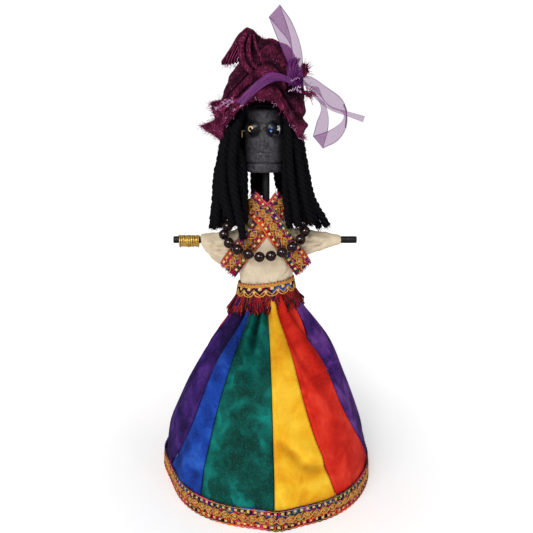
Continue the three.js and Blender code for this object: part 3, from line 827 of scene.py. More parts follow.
# Gathers of the skirt: angle at the waist and lower down in degrees, half width in mm at the
# waist, depth (negative goes in), the height where the fold dies out.
GATHERS = [
    (-58, -72, 3.0, 1.4, 84), (-47, -58, 2.0, -4.6, 72), (-37, -46, 2.2, 1.8, 84),
    (-30, -33, 1.5, -2.6, 100), (-25, -25, 1.8, 1.6, 92), (-18, -15, 2.2, -7.0, 94),
    (-9, -7, 1.8, 2.6, 92), (-4, -8, 0.8, -2.2, 126), (1, 2.5, 1.2, -3.4, 108),
    (5.5, 9, 0.8, -2.4, 118), (15, 21, 3.0, 3.0, 84), (23, 34, 1.4, -2.8, 102),
    (34, 52, 2.8, 2.2, 86), (46, 65, 1.7, -4.2, 84), (60, 78, 3.2, 1.8, 80),
]
# The back has a regular row of gathers. The sine and cosine of whole numbers make it uneven.
BACK_GATHERS = [
    (angle, angle + 3 * math.sin(angle), 2.6, 3.2 * (-1) ** i, 84 + 9 * math.cos(angle))
    for i, angle in enumerate(range(76, 300, 12))
]

# Soft dents lower down: angle, height, slope of the dent, half length and half width in mm, depth.
DENTS = [
    (14, 51, -1.05, 13, 3.6, -3.4), (27, 37, -0.2, 11, 4.2, -3.4), (25, 50, -0.5, 15, 5, 2.0),
    (9, 28, -2.0, 16, 3.5, 1.2), (-58, 42, 2.6, 24, 3.5, -1.6), (-50, 30, 3.0, 26, 4, 1.4),
    (-20, 70, -2.5, 30, 6, -1.5), (52, 80, -1.8, 32, 7, -1.2), (34, 95, -2.2, 26, 5, 1.2),
    (-70, 66, 1.8, 28, 6, 1.4), (80, 50, -2.0, 30, 6, -1.4), (120, 60, 1.5, 34, 9, -1.0),
    (-88, 98, 4.0, 34, 26, -4.4), (74, 133, 4.0, 13, 15, 3.4), (160, 45, -2, 30, 8, 0.9),
    (200, 70, 2, 36, 9, -0.9), (240, 50, -1.6, 32, 8, 0.8),
]


def wrap_degrees(angle):
    """The same angle between -180 and 180."""
    return (np.asarray(angle) + 180) % 360 - 180


def gather_relief(angle, height, radius):
    """How far the gathered cloth stands off its smooth bell, dying out under the waist band."""
    lift = np.zeros_like(angle)
    for top, low, width, depth, fade in GATHERS + BACK_GATHERS:
        down = np.clip((WAIST_TOP - height) / (WAIST_TOP - fade), 0, 1.6)
        away = np.radians(wrap_degrees(angle - top - (low - top) * down)) * radius
        spread = width * (1 + 1.1 * down)
        lift += depth * bell(away, 0, spread) * smoothstep(fade - 20, fade + 34, height)
    return lift * (1 - 0.8 * smoothstep(143, 150, height))


def dent_relief(angle, height, radius):
    """How far the soft dents and swells lower down stand off the bell."""
    lift = np.zeros_like(angle)
    for centre, level, slope, half_length, half_width, depth in DENTS:
        sideways = np.radians(wrap_degrees(angle - centre)) * radius
        rise = height - level
        norm = math.hypot(1, slope)
        along = (sideways + slope * rise) / norm
        across = (rise - slope * sideways) / norm
        lift += depth * bell(along, 0, half_length) * bell(across, 0, half_width)
    return lift


def gore_rows(node):
    """Outer face of a CAD gore: heights, and for each height the angles and radii across it."""
    points = cad_points(node)
    levels = np.unique(np.round(points[:, 2], 1))
    rows = []
    for level in levels:
        ring = points[np.abs(points[:, 2] - level) < 0.06]
        radii = np.hypot(ring[:, 0], ring[:, 1])
        order = np.argsort(-radii)
        angles = np.degrees(np.arctan2(ring[:, 0], -ring[:, 1]))
        middle = np.degrees(np.arctan2(ring[:, 0].mean(), -ring[:, 1].mean()))
        angles = middle + wrap_degrees(angles - middle)
        keep = []
        for i in order:
            if all(abs(angles[i] - angles[k]) > 0.9 for k in keep):
                keep.append(i)
        keep.sort(key=lambda i: angles[i])
        rows.append((level, angles[keep], radii[keep]))
    return rows


def gore_surface(node, row_count, column_count):
    """Fine angles, heights and radii over a CAD gore, before any relief."""
    rows = gore_rows(node)
    share = np.linspace(0, 1, column_count)
    angle_table = []
    radius_table = []
    for _, angles, radii in rows:
        places = (angles - angles[0]) / (angles[-1] - angles[0])
        angle_table.append(np.interp(share, places, angles))
        radius_table.append(np.interp(share, places, radii))
    levels = np.array([level for level, _, _ in rows])
    knots = np.stack([np.array(angle_table), np.array(radius_table)], axis=2)
    heights = np.linspace(levels[0], levels[-1], row_count)
    fine = np.empty((row_count, column_count, 2))
    for column in range(column_count):
        for channel in range(2):
            curve = spline(np.stack([levels, knots[:, column, channel]], axis=1), 400)
            fine[:, column, channel] = np.interp(heights, curve[:, 0], curve[:, 1])
    return fine[:, :, 0], np.repeat(heights[:, None], column_count, axis=1), fine[:, :, 1]


def gore(node, look, slot):
    """One dyed gore: gathered at the waist, turned in along both seams, with painted shade in its folds.
    """
    angles, heights, radii = gore_surface(node, 130, 56)
    gathers = gather_relief(angles, heights, radii)
    dents = dent_relief(angles, heights, radii)
    turn = np.radians(angles)
    arc = (turn - turn[:, :1]) * radii
    width = arc[:, -1:]
    edge = np.minimum(arc, width - arc)
    tuck = -0.85 * bell(edge, 0, 0.9) + 0.3 * bell(edge, 1.9, 1.1)
    pucker = 0.16 * np.sin(heights * 2.1 + angles) * bell(edge, 0, 3.0)
    radius = radii + gathers + dents + tuck + pucker
    # Painted shade, kept as tint: darker in the gathers and the dents, and towards the top of the skirt.
    folded = 0.62 * smoothstep(0.6, 7.5, -gathers)
    folded = folded + 0.5 * smoothstep(0.4, 3.6, -dents) * bell(angles, 20, 60)
    folded = np.minimum(folded + 0.26 * smoothstep(85, 142, heights), 1)
    points = np.stack([radius * np.sin(turn), -radius * np.cos(turn), heights], axis=2)
    shape = Shape()
    shape.sheet(
        points, tint=folded.ravel(), along=arc.ravel() + angles[:, :1].mean(),
        across=heights.ravel(),
    )
    piece = shape.build(node + "_cloth", [look])
    thicken(piece, 0.7)
    return finish_piece(piece, "stand", [node], slot)


def petticoat(net):
    """The stiff net underskirt, following the bell and the dents inside the gores."""
    gap = 7.5  # between the CAD net and this one at the hem
    drawn_in = 5.0  # how much closer it lies under the waist gathers
    low, high = box_mm("petticoat")
    points = cad_points("petticoat")
    levels = np.unique(np.round(points[:, 2], 1))
    widest = [
        np.hypot(*points[np.abs(points[:, 2] - level) < 0.06][:, :2].T).max() for level in levels
    ]
    heights = np.linspace(low[2], high[2], 60)
    angles = np.radians(np.linspace(0, 360, 181)[:-1])
    shape = Shape()
    rings = []
    for height in heights:
        drawn = smoothstep(95, 150, height)
        radius = np.interp(height, levels, widest) - gap - drawn_in * drawn
        radius = radius + np.minimum(dent_relief(np.degrees(angles), height, radius), 0)
        wave = 0.9 * np.sin(angles * 24) * (0.3 + drawn)
        rings.append(np.stack([
            (radius + wave) * np.sin(angles),
            -(radius + wave) * np.cos(angles) * (1 - 0.22 * drawn),
            np.full(len(angles), height),
        ], axis=1))
    rings = np.array(rings)
    shape.add(
        rings, grid_faces(len(heights), len(angles), wrap=True),
        along=np.tile(np.degrees(angles) * 1.2, len(heights)), across=rings[:, :, 2].ravel(),
    )
    piece = shape.build("petticoat_net", [net])
    thicken(piece, 0.5)
    return finish_piece(piece, "stand", ["petticoat"], "petticoat_net")


# ------------------------------------------------------------------ embroidered trim

GROUND, GOLD, THREAD, STUD = range(4)  # material slots of the trim
LOOP = 6.6  # length of one eye of the gold chain in mm
STITCH = 4.7  # spacing of the framed squares and the scallops in mm


def trim_looks():
    """The trim's materials, in the order of its slots."""
    return [
        stitched_ground(),
        metal_thread("gold_cord", rgb(186, 116, 34), rgb(250, 196, 86)),
        coloured_thread(),
        metal_thread("pale_gold_stud", rgb(198, 156, 66), rgb(255, 232, 156)),
    ]


class Braid:
    """Woven trim built on a surface: place(along, across, lift) gives points in mm."""

    def __init__(self, place, length, half_width):
        self.place = place
        self.length = length
        self.half = half_width
        self.shape = Shape()

    def ground(self, columns):
        """The close cloth under the embroidery, as a closed band."""
        thickness = 0.5
        stations = np.linspace(0, self.length, int(self.length / 1.2) + 2)
        across = np.linspace(-self.half, self.half, columns)
        top = [self.place(np.full(columns, s), across, np.zeros(columns)) for s in stations]
        back = [self.place(np.full(columns, s), across[::-1], np.full(columns, -thickness))
                for s in stations]
        rings = np.concatenate([np.array(top), np.array(back)], axis=1)
        along = np.repeat(stations, columns * 2)
        over = np.tile(np.concatenate([across, across[::-1]]), len(stations))
        self.shape.closed(rings, slot=GROUND, along=along, across=over)

    def cord(self, along, across, lift, radius, slot, sides=5, tint=0.0):
        self.shape.tube(self.place(along, across, lift), radius, sides, slot=slot, tint=tint)

    def chain(self, centre, amplitude):
        """Two gold cords woven in and out of each other into a chain of eyes."""
        count = int(self.length / 0.55)
        along = np.linspace(0.3, self.length - 0.3, count)
        for sign in (1, -1):
            sway = np.sin(along * math.pi / LOOP) * sign
            over = np.cos(along * math.pi / LOOP) * sign
            self.cord(along, centre + amplitude * sway, 0.5 + 0.25 * over, 0.34, GOLD)

    def eyes(self, centre):
        """A coiled ring with a pale centre in each eye of the chain."""
        for i in range(int(self.length / LOOP)):
            middle = (i + 0.5) * LOOP
            wobble = rng.uniform(-0.2, 0.2, 2)
            turn = np.linspace(0, 2 * math.pi * 1.15, 18)
            radius = np.linspace(1.5, 1.15, 18)
            self.cord(
                middle + wobble[0] + radius * np.cos(turn),
                centre + wobble[1] + radius * np.sin(turn),
                np.linspace(0.5, 0.8, 18), 0.3, GOLD, 4,
            )
            self.stud(middle + wobble[0], centre + wobble[1], 0.6, 0.5, 0.7)

    def stud(self, along, across, half_long, half_wide, height):
        """A small padded square of pale gold stitching."""
        rows = [(1.0, 0.1), (1.0, height * 0.7), (0.7, height), (0.05, height * 1.02)]
        turns = np.radians(np.arange(0, 360, 30)) + math.pi / 4
        square = np.maximum(np.abs(np.cos(turns)), np.abs(np.sin(turns)))
        a = np.cos(turns) / square
        b = np.sin(turns) / square
        rings = [
            self.place(along + a * half_long * s, across + b * half_wide * s,
                       np.full(len(a), h)) for s, h in rows
        ]
        self.shape.add(rings, grid_faces(len(rows), len(a), wrap=True), slot=STUD)

    def squares(self, centre, tints, shift):
        """A row of pale studs, each framed by thread of its own colour."""
        for i in range(int((self.length - shift) / STITCH)):
            middle = (i + 0.5) * STITCH + shift + rng.uniform(-0.25, 0.25)
            self.stud(middle, centre + rng.uniform(-0.15, 0.15), rng.uniform(0.75, 1.15),
                      rng.uniform(0.7, 1.0), 0.5)
            tint = tints[(i // 3) % len(tints)] + 0.01
            bar = np.linspace(-1.4, 1.4, 5)
            between = rng.choice(tints) + 0.01
            for offset, colour in ((-1.5, tint), (1.5, tint), (STITCH / 2, between)):
                self.cord(np.full(5, middle + offset), centre + bar, np.full(5, 0.3), 0.4,
                          THREAD, 4, colour)

    def scallops(self, centre, amplitude, tints, radius=0.34, slot=THREAD):
        """A wavy edging cord whose colour changes now and then."""
        run = 4 * STITCH
        for i in range(max(1, int(self.length / run))):
            along = np.linspace(i * run, min((i + 1.04) * run, self.length), 44)
            wave = np.abs(np.sin(along * math.pi / STITCH))
            self.cord(along, centre + amplitude * wave, 0.3 + 0.15 * wave, radius, slot, 5,
                      tints[i % len(tints)] + 0.01)

    def runs(self, centre, radius, tints):
        """A straight cord made of 14 mm lengths of different thread."""
        count = max(1, round(self.length / 14.0))
        ends = np.linspace(0.2, self.length - 0.2, count + 1)
        for i in range(count):
            along = np.linspace(ends[i], ends[i + 1], 12)
            self.cord(along, np.full(12, centre), np.full(12, 0.25), radius, THREAD, 5,
                      tints[i % len(tints)] + 0.01)

    def filling(self, density):
        """Short slanting stitches scattered between the gold eyes, some of them gold."""
        for _ in range(int(self.length * density)):
            middle = rng.uniform(1, self.length - 1)
            centre = rng.uniform(-0.62, 0.62) * self.half
            slant = rng.uniform(-1, 1)
            steps = np.linspace(-1, 1, 4) * rng.uniform(0.5, 1.1)
            slot = GOLD if rng.uniform() < 0.55 else THREAD
            self.cord(middle + steps * math.cos(slant), centre + steps * math.sin(slant * 1.5),
                      0.55 - 0.35 * steps**2, 0.26, slot, 4, rng.uniform(0, 0.99))

    def line(self, centre, radius):
        """A straight gold cord along the whole band."""
        count = int(self.length / 1.5) + 2
        along = np.linspace(0.2, self.length - 0.2, count)
        self.cord(along, np.full(count, centre), np.full(count, 0.25), radius, GOLD)

    def frayed_end(self, at, direction, count, reach):
        """Loose threads at a cut end, direction +1 or -1 along the band."""
        for _ in range(count):
            across = rng.uniform(-self.half, self.half)
            length = rng.uniform(0.3, 1.0) * reach
            steps = np.linspace(0, 1, 5)
            bend = rng.normal(0, 0.35)
            self.cord(
                at + direction * length * steps, across + bend * steps**2 * length,
                0.1 + rng.uniform(0, 0.6) * steps, 0.14, THREAD, 3, rng.uniform(0, 0.99),
            )

    def build(self, name, node):
        piece = self.shape.build(name, trim_materials)
        return finish_piece(piece, "stand", [node], "embroidered_braid")


trim_materials = trim_looks()

# Positions of thread colours in the palette.
CRIMSON, MAGENTA, VIOLET, BLUE, GREEN, ORANGE, AUBERGINE, ROSE = [
    i / len(THREADS) for i in range(len(THREADS))
]


def full_pattern(braid, upper, lower):
    """The wide trim: scalloped edges, two rows of framed squares and the chain of gold eyes.

    upper and lower are the thread colours that follow each other along either edge.
    """
    half = braid.half
    braid.ground(9)
    braid.filling(4.4)
    braid.chain(0, 2.35)
    braid.eyes(0)
    row = half - 2.5
    for side, tints, shift in ((1, upper, 0.0), (-1, lower, 2.2)):
        braid.squares(side * row, tints, shift)
        braid.runs(side * (row - 1.75), 0.32, tints[1:] + tints[:1])
        braid.runs(side * (row + 1.5), 0.34, tints)
        braid.scallops(side * (half - 0.5), side * 0.55, tints)
        braid.scallops(side * (half - 1.0), side * 0.5, [0], slot=GOLD, radius=0.24)


def hem_trim():
    """The trim sewn round the hem, following the folds of the skirt."""
    points = cad_points("hem_trim")
    angles = np.degrees(np.arctan2(points[:, 0], -points[:, 1]))
    radii = np.hypot(points[:, 0], points[:, 1])
    low, high = box_mm("hem_trim")
    middle = (low[2] + high[2]) / 2
    grid = np.linspace(-180, 180, 65)
    window = 3.4  # degrees either side of a grid angle
    fine = np.linspace(-180, 180, 721)
    outlines = []
    for level in (points[:, 2] < middle, points[:, 2] >= middle):
        ring = [radii[level & (np.abs(wrap_degrees(angles - a)) < window)].max() for a in grid]
        ring = np.interp(fine, grid, ring)
        padded = np.concatenate([ring[-5:-1], ring, ring[1:5]])
        outlines.append(np.convolve(padded, np.ones(9) / 9, "valid"))
    lower, upper = outlines
    length = 2 * math.pi * (lower.mean() + upper.mean()) / 2
    half = (high[2] - low[2]) / 2

    def place(along, across, lift):
        angle = np.asarray(along) / length * 360 - 180
        share = (np.asarray(across) / half + 1) / 2
        waver = 0.25 * np.sin(np.radians(angle) * 31) + 0.3 * np.sin(np.radians(angle) * 7 + 1)
        radius = np.interp(angle, fine, lower) * (1 - share) + np.interp(angle, fine, upper) * share
        radius = radius - 0.55 + lift + 0.3 * waver * share
        turn = np.radians(angle)
        height = low[2] + 0.1 + (high[2] - low[2]) * share + 0.45 * waver * share
        return np.stack([radius * np.sin(turn), -radius * np.cos(turn), height], axis=-1)

    braid = Braid(place, length, half)
    full_pattern(braid, [AUBERGINE, VIOLET, GREEN, AUBERGINE, MAGENTA, AUBERGINE, BLUE],
                 [CRIMSON, AUBERGINE, ORANGE, MAGENTA, AUBERGINE])
    return braid.build("hem_trim_embroidery", "hem_trim")


def sash_place(stations, flip):
    """A placing function along a sash from its centre line and the way it faces.

    flip is 1 or -1 and says which way round the pattern lies.
    """
    centres = spline([at for at, _ in stations], 200)
    facing = unit(spline([out for _, out in stations], 200))
    steps = np.linalg.norm(np.diff(centres, axis=0), axis=1)
    travelled = np.concatenate([[0], np.cumsum(steps)])
    tangents = unit(np.gradient(centres, axis=0))
    sides = unit(np.cross(tangents, facing))
    normals = unit(np.cross(sides, tangents))

    def place(along, across, lift):
        along, across, lift = np.broadcast_arrays(
            np.asarray(along, float), np.asarray(across, float), np.asarray(lift, float)
        )
        s = np.clip(along, 0, travelled[-1])
        beyond = along - s

        def pick(table):
            return np.stack([np.interp(s, travelled, axis) for axis in table.T], axis=-1)

        across = across * flip
        curl = -0.02 * across**2
        base = pick(centres) + pick(tangents) * beyond[..., None]
        return base + pick(sides) * across[..., None] + pick(normals) * (lift + curl)[..., None]

    return place, travelled[-1]


# Sashes from the neck down: a point on the centre line, and the way the cloth faces there.
SASH_OVER = [
    ((-12.8, -2.5, 220.6), (-0.5, -0.8, 0.35)), ((-7.6, -8.6, 215.6), (-0.3, -0.85, 0.5)),
    ((1.6, -14.2, 207.4), (0, -0.85, 0.5)), ((10.5, -18.9, 196), (0.1, -0.95, 0.25)),
    ((20, -17.4, 183), (0.35, -0.94, 0)), ((28.8, -13.6, 170.4), (0.5, -0.86, -0.05)),
]
SASH_UNDER = [
    ((12.6, -1, 220), (0.55, -0.75, 0.35)), ((8.2, -6.8, 214.6), (0.35, -0.85, 0.5)),
    ((-0.6, -12.2, 206), (0, -0.85, 0.5)), ((-10.5, -17.6, 194.5), (-0.1, -0.95, 0.25)),
    ((-20.5, -16.4, 181.5), (-0.35, -0.94, 0)), ((-29.3, -12.6, 168.8), (-0.5, -0.86, -0.05)),
]


def sash(name, node, stations, flip):
    """One length of the wide trim, from the neck across the chest, frayed at both ends."""
    place, length = sash_place(stations, flip)
    braid = Braid(place, length, 8.1)
    full_pattern(braid, [MAGENTA, VIOLET, GREEN, VIOLET, ORANGE],
                 [CRIMSON, ORANGE, CRIMSON, GREEN, AUBERGINE])
    braid.frayed_end(0, -1, 46, 3.2)
    braid.frayed_end(length, 1, 60, 1.6)
    return braid.build(name, node)


def waist_ring(node):
    """Half sizes of a waist ring and how much it rises towards +X."""
    low, high = box_mm(node)
    points = cad_points(node)
    right = points[points[:, 0] > high[0] - 1.5][:, 2].max()
    left = points[points[:, 0] < low[0] + 1.5][:, 2].max()
    tilt = (right - left) / (high[0] - low[0] - 1.5)
    return high[0], high[1], tilt, (right + left) / 2


def waist_band():
    """The waist braid: dotted cord on top, a zigzag over pale squares and a gold scallop below."""
    rx, ry, tilt, top = waist_ring("waist_band")
    height = 8.8
    length = math.pi * (rx + ry)

    def place(along, across, lift):
        angle = np.asarray(along) / length * 2 * math.pi - math.pi
        grow = np.asarray(lift) - 0.35 - 0.16 * (np.asarray(across) + height / 2)
        x = (rx + grow) * np.sin(angle)
        y = -(ry + grow) * np.cos(angle)
        return np.stack([x, y, top - height / 2 + across + tilt * x], axis=-1)

    braid = Braid(place, length, height / 2)
    braid.ground(7)
    for centre, radius in ((3.9, 0.4), (3.0, 0.55), (1.9, 0.5)):
        braid.line(centre, radius)
    dots = int(length / 2.4)
    for i in range(dots):
        middle = (i + 0.5) * length / dots
        turn = np.linspace(-0.5, 0.5, 5)
        braid.cord(middle + turn * 0.7, 3.9 + turn * 0.35, np.full(5, 0.45), 0.42, THREAD, 6,
                   [AUBERGINE, CRIMSON, VIOLET, ROSE][i % 4] + 0.01)
    zigzags = 15
    period = length / zigzags
    for i in range(zigzags):
        start = i * period
        colour = BLUE if 0.56 < (i + 0.5) / zigzags < 0.66 else AUBERGINE
        for shift, radius, slot in ((0.2, 0.34, THREAD), (-0.7, 0.34, THREAD), (-1.5, 0.34, GOLD)):
            for first, last in (((0, -2.6), (0.5, 1.6)), ((0.5, 1.6), (1, -2.6))):
                leg = np.linspace(first, last, 8)
                braid.cord(start + leg[:, 0] * period, leg[:, 1] + shift,
                           np.full(8, 0.6), radius, slot, 6, colour + 0.01)
        braid.stud(start + period, 0.4, 1.2, 1.0, 0.6)
        braid.stud(start + period * 0.5, -1.9, 0.9, 0.8, 0.5)
        low_curve = spline([(0, -5.2), (0.3, -4.5), (0.5, -2.9), (0.7, -4.5), (1, -5.2)], 16)
        braid.cord(start + low_curve[:, 0] * period, low_curve[:, 1], np.full(16, 0.6), 0.42,
                   GOLD, 6)
    return braid.build("waist_band_embroidery", "waist_band")


def waist_fringe(look):
    """Cut threads hanging in uneven tufts below the waist braid, flaring out."""
    rx, ry, tilt, _ = waist_ring("waist_band")
    low, high = box_mm("waist_fringe")
    flare = high[0] - rx
    bottom = low[2] + 1.4
    top = 151.2
    parting = 29  # degrees; near it the threads are short and few and lean to either side
    shape = Shape()
    tufts = 28
    for tuft in range(tufts):
        middle = (tuft + rng.uniform(-0.2, 0.2)) * 2 * math.pi / tufts
        beside = math.degrees(middle) - parting
        bulge = float(bell(beside, 0, 11))
        lean = rng.normal(0, 0.16) + 0.3 * bulge * math.copysign(1, beside)
        side = abs(math.sin(middle)) ** 3
        side_drop = 1 + 0.25 * side
        reach = rng.uniform(0.25, 0.7) + 0.5 * side
        long_front = 0.25 * float(bell(wrap_degrees(math.degrees(middle) + 6), 0, 30))
        length = (rng.uniform(0.78, 1.0) + long_front) * (1 - 0.35 * bulge) * side_drop
        family = rng.uniform(0, 1)
        for _ in range(int(62 - 52 * bulge)):
            root = middle + rng.normal(0, 0.05)
            spread = (root - middle) * rng.uniform(1.0, 3.0) + lean
            out = flare * reach * rng.uniform(0.7, 1.1)
            drop = (top - bottom) * length * rng.uniform(0.7, 1.05)
            depth = rng.uniform(-0.9, 0.6)
            steps = np.linspace(0, 1, 6)
            angle = root + spread * steps**1.3
            grow = depth + out * steps**1.4
            x = (rx - 0.6 + grow) * np.sin(angle)
            y = -(ry - 0.6 + grow) * np.cos(angle)
            z = top - drop * steps + tilt * x
            tint = (family + rng.normal(0, 0.22)) % 1.0
            shape.tube(np.stack([x, y, z], axis=1), 0.31, 4, tint=min(tint, 0.99))
    return finish_piece(
        shape.build("waist_fringe_threads", [look]), "stand", ["waist_fringe"], "fringe_threads"
    )


# ------------------------------------------------------------------ blouse and padding

# Torso: height, half width and half depth in mm.
TORSO = [
    (155, 20.2, 14.9), (163, 21.2, 16), (172, 24, 18), (182, 25, 18.4), (191, 25, 17.4),
    (199, 23.5, 13.8), (205, 17.3, 10), (209.5, 11, 7.4), (213, 6.5, 5.6),
]
# Sleeves: place along the arm, height of the middle, half depth and half height in mm.
SLEEVE_LEFT = [
    (-14, 186.5, 10.5, 13), (-27, 184, 10, 14), (-36, 183, 8.2, 13.3), (-41, 184.5, 6.8, 11),
    (-46, 187.5, 5.4, 7.6), (-49.8, 189.65, 4.4, 4.6),
]
SLEEVE_RIGHT = [
    (14, 186.5, 10.5, 13), (27, 187, 9.6, 12.4), (36, 188.2, 8, 10), (43, 188.8, 6.4, 8),
    (51, 189.2, 4.8, 5.2), (57.2, 189.65, 3.9, 3.9),
]


def torso_form(inset):
    """The torso as a closed skin, inset by some mm all round."""
    turn = np.radians(np.arange(0, 360, 6))
    form = Shape()
    form.closed([
        np.stack([(rx - inset) * np.cos(turn), (ry - inset) * np.sin(turn),
                  np.full(len(turn), z)], axis=1)
        for z, rx, ry in spline(TORSO, 30)
    ])
    return form


def sleeve_form(stations, inset):
    """A sleeve as a closed skin, inset by some mm all round."""
    turn = np.radians(np.arange(0, 360, 8))
    form = Shape()
    form.closed([
        np.stack([np.full(len(turn), x), (ry - inset) * np.cos(turn),
                  z + (rz - inset) * np.sin(turn)], axis=1)
        for x, z, ry, rz in spline(stations, 26)
    ])
    return form


def select_only(*pieces):
    """Selects just these pieces, with the first as the active one, so that operators act on them."""
    for other in bpy.context.selected_objects:
        other.select_set(False)
    for piece in pieces:
        piece.select_set(True)
    bpy.context.view_layer.objects.active = pieces[0]


def join_pieces(*pieces):
    """Joins pieces into the first of them."""
    select_only(*pieces)
    bpy.ops.object.join()
    return pieces[0]


def apply_modifiers(piece):
    """Makes the result of a piece's modifiers its own mesh."""
    select_only(piece)
    for modifier in list(piece.modifiers):
        bpy.ops.object.modifier_apply(modifier=modifier.name)


def remesh(piece, step, look):
    """Rebuilds a piece as one even skin with faces about step mm wide, in one material."""
    add_modifier(piece, "REMESH", mode="VOXEL", voxel_size=step * MM, use_smooth_shade=True)
    apply_modifiers(piece)
    piece.data.materials.clear()
    piece.data.materials.append(look)


def point_array(piece):
    """The vertices of a piece in mm."""
    points = np.empty(len(piece.data.vertices) * 3)
    piece.data.vertices.foreach_get("co", points)
    return points.reshape(-1, 3) / MM


def set_points(piece, points):
    """Moves the vertices of a piece to points in mm."""
    piece.data.vertices.foreach_set("co", (points * MM).ravel())
    piece.data.update()


def normal_array(piece):
    """The directions in which the vertices of a piece face."""
    normals = np.empty(len(piece.data.vertices) * 3)
    piece.data.vertices.foreach_get("normal", normals)
    return normals.reshape(-1, 3)


def blouse_folds(points):
    """Height of the blouse's creases: pulled lines from the neck, armpits and waist."""
    x, y, z = points.T
    lift = 0.35 * ripple(points * (1, 1, 0.6), 7, 3.0, 2)
    for side, crease_z, slope in ((-1, 177, 0.42), (-1, 182.5, 0.05), (-1, 190, -0.22),
                                  (1, 178.5, 0.45), (1, 184.5, 0.12), (1, 192, -0.12)):
        reach = side * x
        band = smoothstep(16, 25, reach) * (1 - smoothstep(38, 50, reach))
        line = z - crease_z - slope * (reach - 22)
        lift += band * (-1.5 * bell(line, 0, 1.0) + 0.8 * bell(line, 2.4, 1.5))
    across_shoulder = smoothstep(8, 14, x) * (1 - smoothstep(24, 32, x)) * smoothstep(188, 194, z)
    for number in range(3):
        arc = np.hypot(x - 6, z - 188) - (11 + 4.2 * number)
        lift += across_shoulder * (-1.2 * bell(arc, 0, 0.8) + 0.6 * bell(arc, 1.8, 1.1))
    around = np.arctan2(x, -y)
    gather = 1 - smoothstep(157, 168, z)
    lift += gather * 0.45 * np.sin(around * 15 + 2 * np.sin(around * 3))
    neck = smoothstep(196, 207, z) * (np.abs(x) < 26)
    lift += neck * 0.6 * np.sin(around * 13)
    return lift


def blouse(look):
    """The calico blouse: one shell over torso and sleeves, wrinkled by cloth simulation."""
    forms = [torso_form(0.5), sleeve_form(SLEEVE_LEFT, 0.4), sleeve_form(SLEEVE_RIGHT, 0.4)]
    piece = join_pieces(*[form.build("blouse_muslin", [look]) for form in forms])
    remesh(piece, 1.5, look)
    simulate_blouse(piece)
    add_modifier(piece, "SUBSURF", levels=1, render_levels=1)
    apply_modifiers(piece)
    points = point_array(piece)
    set_points(piece, points + normal_array(piece) * blouse_folds(points)[:, None])
    open_ends(piece)
    thicken(piece, 0.6)
    apply_modifiers(piece)
    return finish_piece(piece, "stand", ["blouse"], "calico")


def held_share(points):
    """How firmly each point of the blouse is held: fully at the cuffs, waist and neck."""
    x, _, z = points.T
    cuffs = np.maximum(smoothstep(44, 48, -x), smoothstep(50, 55, x))
    ends = np.maximum(1 - smoothstep(156, 161, z), smoothstep(205, 210, z))
    return np.maximum(cuffs, ends)


def simulate_blouse(piece):
    """Lets the cloth slacken and buckle between its held ends, then caps how far it moved."""
    rest = point_array(piece)
    held = piece.vertex_groups.new(name="held")
    for index, share in enumerate(held_share(rest)):
        held.add([index], float(share), "REPLACE")
    cloth = piece.modifiers.new("Cloth", "CLOTH")
    cloth.settings.quality = 6
    cloth.settings.mass = 0.15
    cloth.settings.tension_stiffness = 12
    cloth.settings.compression_stiffness = 12
    cloth.settings.bending_stiffness = 0.02
    cloth.settings.shrink_min = -0.06
    cloth.settings.vertex_group_mass = "held"
    cloth.settings.use_pressure = True
    cloth.settings.uniform_pressure_force = 1.2
    cloth.settings.effector_weights.gravity = 0
    scene = bpy.context.scene
    for number in range(1, 19):
        scene.frame_set(number)
    apply_modifiers(piece)
    moved = point_array(piece) - rest
    size = np.linalg.norm(moved, axis=1, keepdims=True)
    cap = 1.1  # furthest that any point may move, in mm
    set_points(piece, rest + moved * np.minimum(1, cap / np.maximum(size, 1e-6)))
    scene.frame_set(1)


def open_ends(piece):
    """Opens cuffs, neck and waist by taking away the faces that close them."""
    mesh = bmesh.new()
    mesh.from_mesh(piece.data)
    gone = []
    for face in mesh.faces:
        x, _, z = face.calc_center_median() / MM
        facing = face.normal
        cuff = (x < -48.2 and facing.x < -0.7) or (x > 55.6 and facing.x > 0.7)
        collar = z > 211.4 and facing.z > 0.6
        waist = z < 156.6 and facing.z < -0.6
        if cuff or collar or waist:
            gone.append(face)
    bmesh.ops.delete(mesh, geom=gone, context="FACES")
    mesh.to_mesh(piece.data)
    mesh.free()


def padding(look):
    """The wadding inside the blouse, lumpy and soft."""
    piece = torso_form(2.4).build("torso_wadding", [look])
    remesh(piece, 2.0, look)
    points = point_array(piece)
    lumps = 0.5 * ripple(points, 6, 1.0, 2)
    set_points(piece, points + normal_array(piece) * lumps[:, None])
    return finish_piece(piece, "stand", ["torso_padding"], "wadding")


# ------------------------------------------------------------------ turban

# Turban crown: height, middle, half width and half depth in mm.
CROWN = [
    (262, -3, 30, 27), (268, -3, 31, 28), (274, -3, 31.4, 28.5), (286, -2.5, 31, 28),
    (296, -1.5, 30, 26.8), (304, -0.5, 28, 24.5), (312, 0.5, 25, 21.5), (319, 2, 21, 17.5),
    (325, 3.5, 16.5, 13.5), (329.5, 4.5, 11, 9), (332, 5, 3, 2.4),
]
# Lower edge of the brim across the face: sideways place and height in mm.
ARCH = [(-34, 264), (-31, 270), (-16, 287), (-4, 291), (7, 287), (19.6, 271), (24.3, 265)]


def brim_heights(angle):
    """Height of the brim at each angle: level at the back, arched over the face."""
    arch = spline(ARCH, 200)
    seat = np.full(len(angle), 266.3)
    for j, a in enumerate(angle):
        x = -3 + 31.2 * math.sin(a)
        if math.cos(a) > 0.15 and arch[0, 0] < x < arch[-1, 0]:
            seat[j] = max(seat[j], np.interp(x, arch[:, 0], arch[:, 1]))
    return seat


